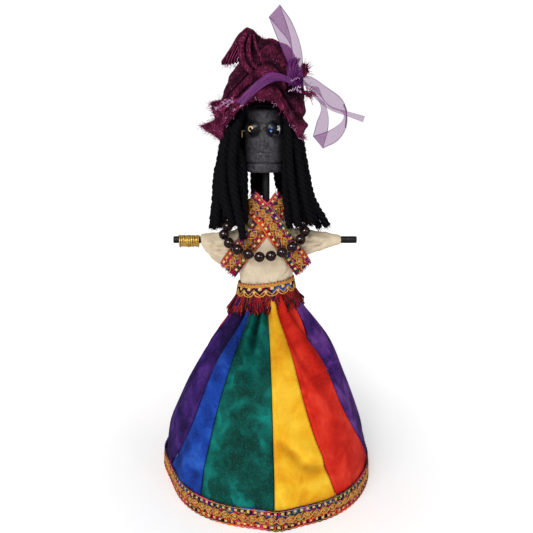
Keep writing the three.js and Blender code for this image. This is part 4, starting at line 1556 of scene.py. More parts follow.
def crown(gauze, thread):
    """The wrapped cap: an arch over the face, a rolled band along the brim, crinkles all over."""
    columns, rows = 300, 110
    table = spline(CROWN, 300)
    angle = np.radians(np.linspace(-180, 180, columns, endpoint=False))
    seat = brim_heights(angle)
    share = np.linspace(0, 1, rows)[:, None] ** 0.9
    height = seat[None, :] + (table[-1, 0] - seat[None, :]) * share
    centre, rx, ry = (np.interp(height, table[:, 0], table[:, k]) for k in (1, 2, 3))
    turn = np.repeat(angle[None, :], rows, axis=0)
    base = np.stack([centre + rx * np.sin(turn), -ry * np.cos(turn), height], axis=2)
    spokes = unit(np.stack([np.sin(turn) * ry, -np.cos(turn) * rx, np.zeros_like(turn)], axis=2))
    above = height - seat[None, :]
    side_bias = 3.0 * np.sin(turn + 0.6)
    flat = base.reshape(-1, 3)
    tilted = flat.copy()
    tilted[:, 2] = (above + 0.25 * flat[:, 0].reshape(above.shape)).ravel()
    drape = np.abs(ripple(tilted * (0.3, 0.4, 1.0), 11.0, 4.0, 2)).reshape(above.shape)
    crumple = np.abs(ripple(flat * (1, 1, 0.8), 4.0, 9.0, 2)).reshape(above.shape)
    # two rolls of cloth along the brim, with a groove above each
    front = smoothstep(0.0, 0.6, np.cos(turn))
    rolls = 2.8 * bell(above, 4.8, 3.9) - 2.8 * bell(above, 10.8 + side_bias, 1.5)
    rolls += 2.2 * bell(above, 16.5 + side_bias, 3.6) - 2.4 * bell(above, 23 + side_bias, 1.3)
    lift = rolls * (0.25 + 0.75 * front) + 0.7 * crumple - 1.3
    lift += 4.4 * drape * (1 - 0.62 * np.abs(np.sin(turn)))
    degrees = np.degrees(turn)
    # a deep hollow below the ribbon's knot
    hollow = bell(wrap_degrees(degrees - 40), 0, 11) * bell(height, 297, 5)
    lift -= 5.0 * hollow
    # Painted shade, kept as tint: darker where the cloth lies low and in the hollow below the knot.
    painted_crease_shade = 0.85 * (1 - smoothstep(-2.6, 1.6, lift)) * (0.4 + 0.6 * front) + 0.9 * hollow
    # a torn, ruffled edge
    near_edge = bell(above, 0, 2.2)
    ruffle = ripple(flat, 2.2, 31.0).reshape(above.shape)
    lift += near_edge * (1.0 * ruffle - 0.5) * (0.4 + 0.6 * front)
    lift *= np.clip((table[-1, 0] - height) / 8, 0.1, 1)
    # two points of cloth that stand out on the right
    right_tip = 1.3 * bell(wrap_degrees(degrees - 74), 0, 8) * bell(height, 274.6, 2.4)
    right_tip += 0.8 * bell(wrap_degrees(degrees - 66), 0, 9) * bell(height, 293, 3)
    lift += 2.2 * right_tip
    points = base + spokes * lift[..., None]
    points[..., 2] += near_edge * 0.9 * ruffle
    shape = Shape()
    shape.add(points, grid_faces(rows, columns, wrap=True), tint=np.minimum(painted_crease_shade, 0.92).ravel())
    shape.add(points[-1], [tuple(range(columns))])
    corner_flap(shape)
    piece = shape.build("turban_gauze", [gauze])
    thicken(piece, 0.9)
    apply_modifiers(piece)
    frays = turban_frays(points)
    for line in (((-31, -20.5, 284.5), (-26, -24, 287.5), (-21, -26.5, 290.5)),
                 ((-30.5, -18.5, 275.5), (-27, -21, 280.5), (-23, -24, 284), (-18, -25.5, 286.5))):
        pale_stitches(frays, line)
    return finish_piece(join_shapes(piece, frays, thread), "head", ["turban"], "turban_gauze")


def pale_stitches(shape, line):
    """Short thick lilac and white threads that catch along a torn edge."""
    for start in spline(line, 9):
        along = rng.uniform(1.0, 2.6)
        path = start + np.array([(0, 0, 0), (0.5, -0.3, 0.7), (0.8, -0.2, 0.2), (1.4, 0, 1)]) * along
        shape.tube(path + rng.normal(0, 0.25, (4, 3)), 0.26, 5, tint=rng.choice([0.85, 0.6]))


# Outer edge of the brim's loose left corner.
CORNER = [(-31, -17, 292), (-38.6, -14, 289.6), (-38.4, -12, 285.6), (-36.6, -11, 280),
          (-40.5, -9, 276.4), (-47, -8, 274), (-42.5, -8, 270.4), (-38, -8, 267.6),
          (-33.6, -8, 264.6)]


def corner_flap(shape):
    """The brim's loose corner: a crumpled sheet that stands out past the left temple."""
    rows, columns = 60, 34
    inner = spline([(-24, -21, 293), (-28.5, -18, 285), (-29.5, -17, 276), (-30, -14, 268),
                    (-29.5, -9, 264)], rows)
    outer = spline(CORNER, rows)
    share = np.linspace(0, 1, columns)[None, :, None]
    points = inner[:, None] * (1 - share) + outer[:, None] * share
    flat = points.reshape(-1, 3)
    wave = ripple(flat * (0.6, 1, 1), 3.4, 40.0, 2).reshape(rows, columns)
    fine = ripple(flat, 1.5, 44.0).reshape(rows, columns)
    fray = 1.2 * ripple(outer, 1.6, 50.0)[:, None] * share[:, :, 0] ** 4
    points[..., 1] += 1.7 * wave * share[:, :, 0] + 0.4 * fine
    points[..., 0] -= fray
    shape.sheet(points)


def join_shapes(piece, shape, look):
    """Adds the geometry of a shape, in its own material, to a piece."""
    return join_pieces(piece, shape.build(piece.name + "_extra", [look]))


def wisp(shape, start, direction, length, radius=0.13, tint=0.0, curl=0.5):
    """One loose thread from a point."""
    steps = np.linspace(0, 1, 6)[:, None]
    bend = rng.normal(0, 1, 3) * curl
    path = start + length * (direction * steps + bend * steps**2 * 0.5)
    shape.tube(path, radius, 3, tint=tint)


def turban_frays(points):
    """Threads fraying from the brim, thickest at the left corner and the right tips."""
    shape = Shape()
    brim = points[0]
    outward = unit((brim - (-4.5, 0, 274)) * (1, 1, 0.2))
    weight = 0.25 + 1.0 * bell(brim[:, 0], -32, 6) + 0.9 * bell(brim[:, 0], 29, 6)
    weight *= np.where(brim[:, 1] < 12, 1.0, 0.4)
    for start in spline(CORNER, 170):
        lean = unit(rng.normal(0, 0.6, 3) + (-0.7, -0.1, -0.1))
        wisp(shape, start + rng.normal(0, 0.3, 3), lean, rng.uniform(0.8, 3.0),
             tint=rng.choice([0.1, 0.6, 0.85], p=[0.4, 0.35, 0.25]))
    for start in spline([(-35, -19, 285), (-28, -22, 289.5), (-22, -24, 291.5)], 60):
        wisp(shape, start + rng.normal(0, 0.5, 3), unit(rng.normal(0, 1, 3)),
             rng.uniform(1.0, 2.6), 0.18, tint=rng.choice([0.6, 0.85, 0.95]))
    for start in spline([(27, -20, 296), (31, -18, 294), (34, -16, 296)], 50):
        wisp(shape, start + rng.normal(0, 0.8, 3), unit(rng.normal(0, 0.7, 3) + (0.7, -0.2, 0)),
             rng.uniform(1.0, 3.2), 0.2, tint=rng.choice([0.1, 0.3, 0.6]))
    picks = rng.choice(len(brim), 300, p=weight / weight.sum())
    for i in picks:
        tint = rng.choice([0.1, 0.6, 0.85], p=[0.5, 0.32, 0.18])
        direction = outward[i] * 0.7 + rng.normal(0, 0.5, 3) + (0, 0, -0.25)
        wisp(shape, brim[i] + rng.normal(0, 0.3, 3), unit(direction), rng.uniform(1.0, 3.6),
             tint=tint)
    return shape


PLEAT_WAVE = 4.0  # radians of pleat for each mm across them
# Folded end on top: sideways place, height of the middle, half depth and half height in mm.
FOLD = [
    (-31.6, 317.6, 2.5, 1.4), (-26, 321.5, 8, 5), (-18, 328, 11, 9.6), (-10, 328.9, 12, 11),
    (-2, 325.3, 12, 8.2), (6, 325, 11, 7.9), (13, 322, 7, 5), (16, 320.5, 2, 2),
]


def turban_fold(gauze, thread):
    """The cloth end folded over on top: pleated on the left, with a rolled lapel in front."""
    rows, columns = 110, 150
    table = spline(FOLD, rows)
    turn = np.radians(np.linspace(0, 360, columns, endpoint=False))
    x = np.repeat(table[:, 0][:, None], columns, axis=1)
    cos, sin = np.cos(turn)[None, :], np.sin(turn)[None, :]
    y = -table[:, 2][:, None] * cos
    z = table[:, 1][:, None] + table[:, 3][:, None] * sin
    base = np.stack([x, y, z], axis=2)
    spokes = unit(np.stack([np.zeros_like(x), -cos * np.ones_like(x), sin * np.ones_like(x)], axis=2))
    flat = base.reshape(-1, 3)
    drape = np.abs(ripple(flat * (0.5, 0.8, 0.8), 8.0, 14.0, 2)).reshape(x.shape) * 2 - 0.7
    crumple = np.abs(ripple(flat, 3.4, 19.0, 2)).reshape(x.shape) * 1.4
    left = 1 - smoothstep(-17, -12, x)
    front_low = smoothstep(-0.95, -0.2, cos) * (1 - smoothstep(0.0, 0.75, sin))
    pleats = np.sin((0.86 * x - 0.51 * z) * PLEAT_WAVE + 0.7 * drape)
    lift = 1.9 * drape * (1 - 0.85 * left) + 0.6 * crumple * (1 - 0.6 * left)
    lift += 0.8 * pleats * left * front_low
    slit = bell(x + 0.46 * (z - 322), -8.9, 1.7) * (cos > 0.1) * bell(z, 320, 9)
    lift -= 5.0 * slit
    # Painted shade, kept as tint: darker in the low places, the slit and the valleys of the pleats.
    painted_crease_shade = 0.8 * (1 - smoothstep(-0.9, 1.4, lift)) * (1 - left) + slit
    painted_crease_shade += 0.75 * left * front_low * smoothstep(-0.3, 0.8, -pleats)
    lift *= np.clip(np.minimum(x - table[0, 0], table[-1, 0] - x) / 3, 0.15, 1)
    points = base + spokes * lift[..., None]
    shape = Shape()
    shape.add(points, grid_faces(rows, columns, wrap=True), tint=np.clip(painted_crease_shade, 0, 0.92).ravel())
    shape.add(points[0], [tuple(range(columns))[::-1]])
    shape.add(points[-1], [tuple(range(columns))])
    lapel(shape)
    frays = Shape()
    pleat_edges(frays, points, table)
    for start in spline([(-9, -7, 336.6), (-4, -8, 333.6), (1, -8, 331.6), (6, -7, 331)], 40):
        wisp(frays, start, unit(rng.normal(0, 0.6, 3) + (0, -0.3, 1)), rng.uniform(0.6, 2.0))
    for start in spline([(-30, -3, 316), (-24, -8, 315), (-17, -9, 317)], 46):
        wisp(frays, start + rng.normal(0, 0.5, 3), unit(rng.normal(0, 0.5, 3) + (-0.1, -0.3, -1)),
             rng.uniform(0.6, 2.0), tint=rng.choice([0.6, 0.85]))
    piece = shape.build("turban_fold_gauze", [gauze])
    return finish_piece(join_shapes(piece, frays, thread), "head", ["turban_fold"], "turban_gauze")


def pleat_edges(shape, points, table):
    """Paler worn threads along the ridges of the pleats, at their lower ends."""
    columns = points.shape[1]
    for ridge in np.arange(-118.75, -113.5) * 2 * math.pi / PLEAT_WAVE:
        path = []
        for i, (x, middle, _, half) in enumerate(table):
            share = ((0.86 * x - ridge) / 0.51 - middle) / half
            if -28 < x < -15.5 and abs(share) < 0.92 and share < 0.15:
                turn = math.asin(share) / (2 * math.pi)
                path.append(points[i, round(turn * columns) % columns] + (0, -0.25, -0.1))
        if len(path) > 4:
            line = spline(path[::3], 14) + rng.normal(0, 0.1, (14, 3))
            shape.tube(line, 0.22, 5, tint=rng.choice([0.6, 0.6, 0.85]))


def lapel(shape):
    """Two rolled edges of cloth that run down the front of the fold, either side of its slit."""
    outer = [(-12.4, -9.5, 337.5), (-16, -13.4, 331), (-17.2, -16, 324.5), (-15, -18.6, 315.5),
             (-9, -22, 308.4)]
    second = [(-10.4, -10.5, 335.5), (-11.6, -14.8, 330), (-11.9, -17, 324.5), (-9.9, -19.4, 316.5),
              (-4.4, -22.2, 310.6)]
    inner = [(-8.4, -10, 335), (-7.2, -13.5, 329), (-5, -16, 322.5), (-2.4, -18.6, 316),
             (-0.6, -20.6, 311)]
    for path, radius in ((outer, 2.2), (second, 1.6), (inner, 1.2)):
        line = spline(path, 50)
        swell = radius * (0.55 + 0.45 * np.sin(np.linspace(0.25, 2.9, 50)))
        wrinkle = 1 + 0.16 * ripple(line, 1.8, 3.0)
        shape.tube(line, swell * wrinkle, 14)


# ------------------------------------------------------------------ ribbon

KNOT = np.array((21.3, -20.8, 303.5))
TUFT = np.array((25.6, -16.5, 310.6))  # end of the turban cloth that pokes out beside the knot
SPILL = np.array((28.6, -18.2, 296.0))  # torn cloth that spills out below the knot


# Runs of the ribbon: both edges, how far the strip sways, and how doubled or scrunched it is, 0 to 1.
RIBBON_RUNS = [
    # the tall loop going up, and coming down again
    ([(17, -19.5, 308), (14.6, -16.5, 317), (8.3, -13.5, 331), (2, -11.5, 346.2)],
     [(23, -19, 308), (19.4, -15.5, 318), (16.4, -12.5, 335), (9.5, -10.5, 354.2)], 0.5, 0.0),
    ([(2, -11.8, 346.2), (9, -12.6, 338), (16.6, -14, 328), (18, -17.5, 313), (19.6, -20, 306)],
     [(9.5, -10.8, 354.2), (17.6, -12, 343), (23.6, -14, 328), (25.3, -17, 315), (24, -20, 306)],
     0.5, 0.0),
    # the side loop going out and down, and coming back
    ([(24, -19.5, 307), (31, -16.5, 307), (41.8, -13.8, 300.6), (52.7, -11.5, 293.1),
      (57, -11.2, 284.5), (57, -12, 273.3), (51, -13.2, 263.8), (40.6, -14.2, 258.4)],
     [(24, -19.5, 301), (30, -16.8, 300.5), (37, -13.8, 295), (45, -11.8, 287),
      (54, -13.4, 283), (53.4, -14.2, 277), (45, -14.4, 271), (33.3, -14, 266.9)], 0.5, 0.0),
    ([(33.3, -13.6, 266.9), (35.8, -12.8, 276.4), (38.6, -12.8, 287), (31, -16, 301)],
     [(40.6, -13.8, 258.4), (44, -12.8, 271.2), (43.4, -12.8, 284), (36.3, -15.6, 300.3)], 0.5, 0.0),
    # the band across the turban's front
    ([(18, -24, 305.5), (9.3, -27.4, 308.3), (2, -30, 308.5), (-3.9, -31, 304.8),
      (-9.8, -31.8, 299.9), (-20.2, -31.8, 289.3)],
     [(18, -24, 301.5), (9.1, -28, 303.6), (2.7, -30.6, 301.6), (-3.9, -31.8, 297.5),
      (-9.4, -32.4, 293), (-15, -32.4, 288)], 0.3, 0.8),
    # the tail to the right
    ([(24, -20, 306.5), (30, -17.6, 301), (36, -16.2, 293.5), (46, -14.6, 287),
      (57, -13.2, 284), (69.8, -12.6, 280.6)],
     [(24, -20, 303.5), (29.2, -17.8, 298.6), (35.4, -16.4, 291.4), (45.6, -15, 284.6),
      (56.4, -13.6, 281), (68.6, -13, 276.6)], 0.2, 0.0),
    # the doubled edge of the side loop
    ([(55.4, -11.4, 289), (57.2, -11, 284.5), (57.4, -11.6, 278.5), (57, -11.8, 272.5)],
     [(54.2, -12.6, 288.6), (56, -12.4, 284.3), (56.2, -12.8, 278.5), (56, -12.8, 272.8)], 0.1, 0.7),
]


def ribbon_run(shape, first_edge, second_edge, sway, doubled):
    """A strip of ribbon ruled between its two edges."""
    first = spline(first_edge, 60)
    second = spline(second_edge, 60)
    share = np.linspace(0, 1, 15)
    points = first[:, None] * (1 - share[None, :, None]) + second[:, None] * share[None, :, None]
    wave = sway * np.sin(np.linspace(0, 7, 60))[:, None] * np.sin(share * math.pi)[None, :]
    points[..., 1] += wave
    across = np.tile(share * 2 - 1, 60)
    along = np.repeat(np.linspace(0, 60, 60), 15)
    shape.sheet(points, tint=doubled, along=along, across=across)


def ribbon(organza_look, gauze, thread):
    """The organza bow: a tall loop, a side loop, two tails and the gathered knot."""
    shape = Shape()
    for first_edge, second_edge, sway, doubled in RIBBON_RUNS:
        ribbon_run(shape, first_edge, second_edge, sway, doubled)
    for turn in np.linspace(-0.45, math.pi + 0.45, 11):
        lean = np.array((math.cos(turn), -0.35, math.sin(turn)))
        centre = KNOT + (0.4, 0, 1.8)
        crumple = [centre - lean * 2.2, centre + lean * 2.0 + (0, -1.8, 0), centre + lean * 3.9,
                   centre + lean * 1.2 + (0, 1, 0)]
        other = [p + rng.normal(0, 1.8, 3) for p in crumple]
        ribbon_run(shape, crumple, other, 0.8, 1.0)
    for shift in (0, 2.4, 4.8):
        rising = [(15.5 + shift, -21, 300), (14.8 + shift, -22.5, 306), (14.2 + shift, -20.5, 312),
                  (16 + shift, -17.5, 318.5)]
        beside = [np.add(p, (2.6, -1.6, 0.6)) + rng.normal(0, 0.6, 3) for p in rising]
        ribbon_run(shape, rising, beside, 1.1, 0.85)
    piece = shape.build("ribbon_organza", [organza_look])
    thicken(piece, 0.12, 0.0)
    apply_modifiers(piece)
    join_shapes(piece, cloth_tuft(TUFT, 4.0, 5.2), gauze)
    join_shapes(piece, cloth_tuft(SPILL, 4.6, 1.7), gauze)
    join_shapes(piece, knot_threads(), thread)
    return finish_piece(piece, "head", ["ribbon"], "ribbon_organza")


def cloth_tuft(centre, half_width, half_height):
    """A crumpled lump of turban gauze that pokes out beside or below the knot."""
    shape = Shape()
    rows = np.linspace(-1, 1, 30)
    profile = [(half_width * math.sqrt(max(1 - h * h, 0.002)), half_height * h) for h in rows]
    shape.lathe(profile, lambda a, b, h: centre + (a + 0.2 * h, b * 0.5, h), 48)
    points = shape.points[0]
    crumple = np.abs(ripple(points, 2.0, 61.0, 2)) * 2.6 - 1.0
    shape.points[0] = points + unit(points - centre) * crumple[:, None]
    # Painted shade, kept as tint, in the hollows of the crumple.
    shape.values[0][:, 0] = 0.8 * (1 - smoothstep(-1.0, 0.2, crumple))
    return shape


def knot_threads():
    """White and lilac threads that tie the knot, and loose magenta ends beside it."""
    shape = Shape()
    for start, end, radius in (((15.2, -25.2, 296.6), (24, -24, 300), 0.32),
                               ((20.5, -25, 298), (23.6, -24.4, 296.4), 0.28),
                               ((17, -25.6, 303.4), (23, -24.6, 306), 0.2)):
        line = np.linspace(start, end, 10)
        zigzag = 0.8 * (-1.0) ** np.arange(8)
        line[1:-1, 2] += zigzag + rng.normal(0, 0.25, 8)
        line[1:-1, 0] += rng.normal(0, 0.35, 8)
        shape.tube(line, radius, 5, tint=0.9)
    for centre, reach in ((TUFT, 3.6), (SPILL, 2.6)):
        for _ in range(60):
            lean = unit(rng.normal(0, 1, 3) * (1, 0.5, 1) + (0.7, -0.3, 0.3))
            wisp(shape, centre + lean * reach, lean, rng.uniform(0.8, 3.6),
                 tint=rng.choice([0.1, 0.6, 0.85], p=[0.5, 0.35, 0.15]), curl=0.8)
    return shape


# ------------------------------------------------------------------ hair


def strand_path(node):
    """The centre line of a CAD strand, from its root down."""
    sides = 6  # points in each ring of a CAD strand
    points = cad_points(node)
    points = points[np.argsort(-points[:, 2])]
    count = len(points) // sides
    return np.array([points[i * sides:(i + 1) * sides].mean(axis=0) for i in range(count)])


def twisted(path, radius, turns, phase, wander=0.0):
    """A path that winds around another path."""
    count = len(path)
    tangents = unit(np.gradient(path, axis=0))
    side = unit(np.cross(tangents, (0.0, 1.0, 0.0)))
    other = np.cross(tangents, side)
    angle = phase + np.linspace(0, turns * 2 * math.pi, count)
    reach = radius * (1 + wander * np.sin(np.linspace(0, 9, count) + phase))
    return path + (side * np.cos(angle)[:, None] + other * np.sin(angle)[:, None]) * reach[:, None]


# Companion locks that hang beside a CAD strand: offset of root and tip in mm, length as a share.
COMPANIONS = {
    "hair_left_1": [((4.5, 5, 4), (5.2, 3, 3), 0.97)],
    "hair_left_2": [((2.5, 7, 2), (0, 6, 6), 0.96)],
    "hair_left_3": [((-1, 5.5, 2), (-4.5, 7, 6), 0.98)],
    "hair_left_4": [((-0.5, 6.5, 0), (-3.5, 8, 12), 0.9), ((0.5, 10, -2), (3.5, 8, 18), 0.8)],
    "hair_left_5": [((3, 5, 0), (4, 4, -4), 1.0), ((-2, -5, 0), (-2, -5, -10), 1.0)],
    "hair_right_1": [((1.5, 6, 4), (-4.5, 6, 2), 0.97), ((4, 9, 2), (2.5, 6, 1), 1.0)],
    "hair_right_2": [((0, 5.5, 2), (-5.5, 4, -2), 0.98)],
    "hair_right_3": [((-3, 5, 0), (-3, 5, 2), 1.0), ((1, -6, 1), (3, -5, -5), 1.0)],
    "hair_front_left": [((-4.5, 7, 0), (-3, 8, 4), 0.95)],
    "hair_front_right": [((0.5, 7, 0), (-6, 6, -2), 1.0), ((3, 9, 0), (-1, 12, 0), 1.0)],
    "hair_back_left": [((-7, -1, 0), (-7.5, -1, -4), 1.0), ((5, 1, 0), (4.5, 0, 2), 1.0)],
    "hair_back_right": [
        ((7.5, -2, 0), (7.5, -2, -4), 1.0), ((-3, 1.5, 0), (-2, 1, 8), 1.0),
        ((3.4, 0.5, 0), (3.4, 0.5, 2), 1.0),
    ],
}

# How much longer the loose yarn hangs than its CAD strand, in mm.
HANG = {
    "hair_left_1": 3.5, "hair_left_2": 5, "hair_left_3": 4, "hair_left_4": 1.5, "hair_left_5": 12,
    "hair_front_left": 4, "hair_right_1": 3.5, "hair_right_2": 2.5, "hair_right_3": 2,
    "hair_front_right": 8,
}


def rope(shape, knots):
    """A lock of yarn: plies twisted together, each of several finer yarns, with loose fuzz."""
    plies, yarns = 3, 5
    length = np.linalg.norm(np.diff(knots, axis=0), axis=1).sum()
    path = spline(knots, int(length / 0.6))
    share = np.linspace(0, 1, len(path))
    slim = 1 - 0.18 * smoothstep(0.85, 1.0, share)
    phase = rng.uniform(0, 6)
    turns = -length / 13.0
    for ply in range(plies):
        centre = twisted(path, 1.6, turns, phase + ply * 2 * math.pi / plies, 0.12)
        for k in range(yarns):
            line = twisted(centre, 0.9, turns * 2.1, phase + k * 2 * math.pi / yarns)
            shape.tube(line, 0.74 * slim, 5)
        for _ in range(9):
            tip = centre[-1] + rng.normal(0, 0.7, 3)
            wisp(shape, tip, unit(rng.normal(0, 0.4, 3) + (0, 0, -1)), rng.uniform(0.8, 2.2), 0.2)
    for i in rng.integers(0, len(path), 90):
        out = unit(rng.normal(0, 1, 3) * (1, 1, 0.6))
        wisp(shape, path[i] + out * 2.0, out, rng.uniform(1.2, 3.4), 0.045, curl=0.9)


def hair_strand(node, body, yarn):
    """A CAD strand as twisted yarn, with the locks that hang beside it."""
    knots = strand_path(node)
    under_hat = knots[0] + (0.12 * (-3 - knots[0, 0]), -0.1 * knots[0, 1], 4.5)
    tip = knots[-1] + unit(knots[-1] - knots[-2]) * HANG.get(node, 0)
    knots = np.vstack([under_hat, knots[:-1], tip])
    if node == "hair_front_left":
        knots[:, 0] -= 4.2 * bell(knots[:, 2], 265, 11)
    shape = Shape()
    rope(shape, knots)
    share = np.linspace(0, 1, len(knots))[:, None]
    for root, tip, reach in COMPANIONS[node]:
        shifted = knots + np.array(root) * (1 - share) + np.array(tip) * share
        rope(shape, shifted[:max(4, round(len(knots) * reach))])
    piece = shape.build(node + "_yarn", [yarn])
    if node.startswith("hair_front"):
        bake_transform(piece)
        body = None
    return finish_piece(piece, body, [node], "yarn_hair")


def forehead_yarn(yarn):
    """The yarn edge that shows between the brim and the brow."""
    shape = Shape()
    line = spline([(-16.5, -13.6, 283), (-12, -15.2, 286), (-4, -16.4, 288), (5, -15.8, 287),
                   (12, -13.6, 283), (16.4, -12.4, 278)], 120)
    for k in range(5):
        wander = 0.5 * ripple(line, 3.0, 7.0 * k)[:, None] * (0.2, -0.6, 1)
        shape.tube(twisted(line, 1.0, 11, k * 1.26) + wander, 0.5, 5)
    for start in np.repeat(line, 2, axis=0):
        lean = unit(rng.normal(0, 0.7, 3) + (0, -0.3, -0.4))
        wisp(shape, start + rng.normal(0, 0.5, 3), lean, rng.uniform(0.8, 2.6), 0.07, curl=0.9)
    return finish_piece(shape.build("forehead_yarn", [yarn]), "head", [], "yarn_hair")


# ------------------------------------------------------------------ beads, cord and bangle

BEAD_RADIUS = 4.0
BEAD_HOLE = 1.45  # radius of the hole
NECKLACE_CENTRE = np.array((0, -6.0, 197.0))


def bead(node, look):
    """A glass bead with a rounded hole, turned along the cord."""
    points = cad_points(node)
    low, high = box_mm(node)
    centre = (low + high) / 2
    spoke = unit((centre - NECKLACE_CENTRE) * (1, 1, 0))
    axis = bead_axis(points, centre, spoke)
    side = unit(np.cross(axis, (0.0, 0.3, 1.0)))
    other = np.cross(axis, side)
    tip = math.asin(BEAD_HOLE / BEAD_RADIUS)
    lean = np.linspace(tip, math.pi - tip, 25)
    profile = [(BEAD_RADIUS * math.sin(a), -BEAD_RADIUS * math.cos(a)) for a in lean]
    depths = np.linspace(profile[-1][1] - 0.25, profile[0][1] + 0.25, 5)
    inner = [(BEAD_HOLE * 0.94, h) for h in depths]
    rows = profile + inner + [profile[0]]
    angles = np.arange(36) * 2 * math.pi / 36
    rings = [
        [centre + side * r * math.cos(a) + other * r * math.sin(a) + axis * h for a in angles]
        for r, h in rows
    ]
    shape = Shape()
    shape.add(rings, grid_faces(len(rows), len(angles), wrap=True))
    return finish_piece(shape.build(node + "_glass", [look]), "necklace", [node], "bead_gloss")


def bead_axis(points, centre, spoke):
    """The direction of a bead's hole, found from the points nearest the centre: its two rims."""
    offsets = points - centre
    rim = offsets[np.argsort(np.linalg.norm(offsets, axis=1))][:16]
    _, _, rows = np.linalg.svd(rim - rim.mean(axis=0))
    reach = [np.abs(rim @ row).mean() for row in rows]
    tangent = np.cross(spoke, (0, 0, 1))
    best = rows[int(np.argmax(reach))]
    return unit(best if best @ tangent > 0 else -best)


def necklace_cord(look):
    """The waxed cord through the beads, twisted from two strands."""
    points = cad_points("necklace_cord")
    angle = np.arctan2(points[:, 0], NECKLACE_CENTRE[1] - points[:, 1])
    bins = 72
    index = ((angle + math.pi) / (2 * math.pi) * bins).astype(int) % bins
    ring = [points[index == k].mean(axis=0) for k in range(bins) if (index == k).any()]
    line = spline(ring, 900, closed=True)
    shape = Shape()
    for k in range(2):
        shape.tube(twisted(line, 0.24, 90, k * math.pi), 0.26, 5)
    return finish_piece(
        shape.build("necklace_cord_twist", [look]), "necklace", ["necklace_cord"], "necklace_cord"
    )


def bangle(gold):
    """A close coil of bright wire, wound a little unevenly round the left end of the arm."""
    low, high = box_mm("bangle")
    centre = (low + high) / 2
    wire = 0.52
    radius = (high[1] - low[1]) / 2 - wire
    turns = 12
    t = np.linspace(0, 1, turns * 40)
    angle = t * turns * 2 * math.pi
    sag = 0.25 * (1 - np.cos(angle)) * np.sin(angle * 0.083) ** 2
    loose = 0.18 * np.sin(angle * 0.37 + 1) - sag
    x = low[0] + wire + (high[0] - low[0] - 2 * wire) * t + 0.12 * np.sin(angle * 0.83)
    reach = radius - 0.1 + loose
    y = centre[1] + reach * np.sin(angle)
    z = centre[2] + reach * np.cos(angle)
    path = np.stack([x, y, z], axis=1)
    shape = Shape()
    shape.tube(path, wire, 8)
    return finish_piece(shape.build("bangle_coil", [gold]), "bangle", ["bangle"], "gold_wire")


# ------------------------------------------------------------------ studio

AMBIENT = 0.32  # world light that falls on surfaces
REFLECTED = 0.12  # world light that glossy surfaces mirror


def studio():
    """The floor, a white backdrop that lights the doll gently, a soft key and two side panels."""
    bpy.ops.mesh.primitive_plane_add(size=12)
    floor = bpy.context.object
    floor.name = "studio_floor"
    floor.data.materials.append(pale_floor())
    floor.visible_glossy = False
    world = bpy.data.worlds.new("studio")
    bpy.context.scene.world = world
    world.use_nodes = True
    tree = world.node_tree
    background = tree.nodes["Background"]
    background.inputs["Color"].default_value = (1, 1, 1, 1)
    light_path = tree.nodes.new("ShaderNodeLightPath")
    glossy, seen = (tree.nodes.new("ShaderNodeMix") for _ in range(2))
    glossy.inputs["A"].default_value = AMBIENT
    glossy.inputs["B"].default_value = REFLECTED
    seen.inputs["B"].default_value = 1.0
    tree.links.new(light_path.outputs["Is Glossy Ray"], glossy.inputs["Factor"])
    tree.links.new(light_path.outputs["Is Camera Ray"], seen.inputs["Factor"])
    tree.links.new(glossy.outputs["Result"], seen.inputs["A"])
    tree.links.new(seen.outputs["Result"], background.inputs["Strength"])
    sun("key", (57, 0, -16), 1.25, 22)
    panel("soft_left", (-0.55, -0.75, 0.75), 0.4, 2.2)
    panel("soft_right", (0.6, -0.8, 0.55), 0.25, 0.9)
    bpy.context.scene.view_settings.view_transform = "Standard"


def sun(name, degrees, strength, angle):
    """A sun lamp turned by some degrees. angle is how wide it looks, which softens shadows."""
    light = bpy.data.lights.new(name, "SUN")
    light.energy = strength
    light.angle = math.radians(angle)
    lamp = bpy.data.objects.new(name, light)
    lamp.rotation_euler = [math.radians(d) for d in degrees]
    bpy.context.scene.collection.objects.link(lamp)


def panel(name, place, size, power):
    """A square lamp, size metres wide, that faces the middle of the doll."""
    light = bpy.data.lights.new(name, "AREA")
    light.size = size
    light.energy = power
    lamp = bpy.data.objects.new(name, light)
    lamp.location = place
    aim = Vector((0, 0, 0.18)) - Vector(place)
    lamp.rotation_euler = aim.to_track_quat("-Z", "Y").to_euler()
    bpy.context.scene.collection.objects.link(lamp)


def camera():
    """A camera on the doll's front, at the distance and height that fit the hem in the photo."""
    lens = bpy.data.cameras.new("camera")
    lens.sensor_width = 36  # mm
    lens.lens = 39.65  # focal length in mm
    eye_point = bpy.data.objects.new("camera", lens)
    eye_point.location = (0.0004, -0.440, 0.275)
    eye_point.rotation_euler = (math.radians(76.4), 0, 0)
    bpy.context.scene.collection.objects.link(eye_point)
    bpy.context.scene.camera = eye_point


# ------------------------------------------------------------------ assembly

black = black_paint("rod_paint", rgb(14, 13, 16), rgb(34, 33, 37), rgb(58, 56, 60))
head_black = black_paint("head_paint", rgb(30, 29, 33), rgb(72, 69, 75), rgb(124, 120, 122))
wood = bare_wood()
for bar, bar_body, bar_look, bar_slot, bar_axis in (
    ("spine_rod", "stand", black, "black_wood", 2),
    ("neck_rod", "stand", black, "black_wood", 2),
    ("arm_bar", "arm_bar", black, "black_wood", 0),
    ("base_disc", "stand", wood, "pale_wood", 2),
    ("torso_core", "stand", wood, "pale_wood", 2),
):
    turned_bar(bar, bar_body, bar_look, bar_slot, bar_axis)

wooden_head(head_black)
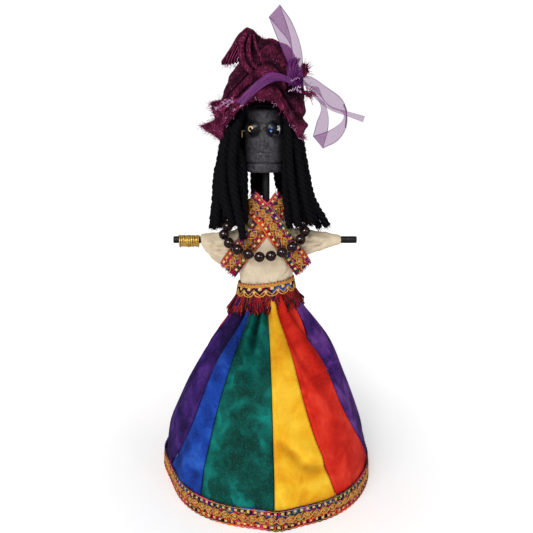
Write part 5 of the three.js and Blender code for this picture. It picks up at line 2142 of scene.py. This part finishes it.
# The facets after the dark crystal are painted reflections and glints; three of them glow.
stone_looks = [
    black,
    eye_stone("dark_crystal", rgb(10, 11, 15), 0.4),
    eye_stone("painted_gold_reflection", rgb(214, 190, 140), painted_reflection_glow=rgb(190, 168, 120)),
    eye_stone("painted_dim_reflection", rgb(84, 78, 66)),
    eye_stone("painted_blue_reflection", rgb(70, 120, 210), painted_reflection_glow=rgb(70, 130, 230)),
    eye_stone("painted_white_glint", rgb(226, 226, 226), painted_reflection_glow=rgb(190, 190, 190)),
]
eye("eye_left", stone_looks, left_facet)
eye("eye_right", stone_looks, right_facet)
gold = gold_wire()
earring(metal_thread("earring_gold", rgb(236, 196, 116), rgb(255, 240, 190)))

blue = dyed_cloth("dyed_blue", rgb(14, 38, 112), rgb(22, 62, 156), rgb(42, 92, 186), 1.0, 0.4)
green = dyed_cloth("dyed_green", rgb(6, 50, 42), rgb(6, 86, 78), rgb(14, 124, 114), 2.0, 0.75)
yellow = dyed_cloth(
    "dyed_yellow", rgb(222, 148, 18), rgb(236, 176, 32), rgb(244, 198, 54), 3.0, 0.25
)
red = dyed_cloth("dyed_red", rgb(174, 20, 14), rgb(212, 38, 24), rgb(228, 62, 42), 4.0, 0.35)
dark_purple = dyed_cloth(
    "dyed_dark_purple", rgb(26, 12, 58), rgb(50, 26, 96), rgb(76, 42, 122), 5.0, 0.6
)
light_purple = dyed_cloth(
    "dyed_light_purple", rgb(46, 20, 88), rgb(90, 48, 130), rgb(120, 70, 154), 9.0, 0.7
)
for gore_node, gore_look, gore_slot in (
    ("gore_blue", blue, "skirt_blue"),
    ("gore_green", green, "skirt_green"),
    ("gore_yellow", yellow, "skirt_yellow"),
    ("gore_red", red, "skirt_red"),
    ("gore_purple_right", light_purple, "skirt_purple"),
    ("gore_back_blue", blue, "skirt_blue"),
    ("gore_back_red", red, "skirt_red"),
    ("gore_purple_left", dark_purple, "skirt_purple"),
):
    gore(gore_node, gore_look, gore_slot)
petticoat(thin_net())
hem_trim()
sash("sash_over_embroidery", "sash_over", SASH_OVER, -1)
sash("sash_under_embroidery", "sash_under", SASH_UNDER, 1)
waist_band()
waist_fringe(fringe_thread())

blouse(calico())
padding(wadding())

gauze_look = turban_gauze()
loose = frayed_thread()
crown(gauze_look, loose)
turban_fold(gauze_look, loose)
ribbon(organza(), gauze_look, loose)

yarn_look = black_yarn()
for strand_body, members in frame["record"]["behaviour"]["bodies"].items():
    for member in members:
        if member.startswith("hair_"):
            hair_strand(member, strand_body, yarn_look)
forehead_yarn(yarn_look)

bead_look = glossy_bead()
for member in sorted(frame["nodes"]):
    if member.startswith("bead_"):
        bead(member, bead_look)
necklace_cord(waxed_cord())
bangle(gold)

studio()
camera()
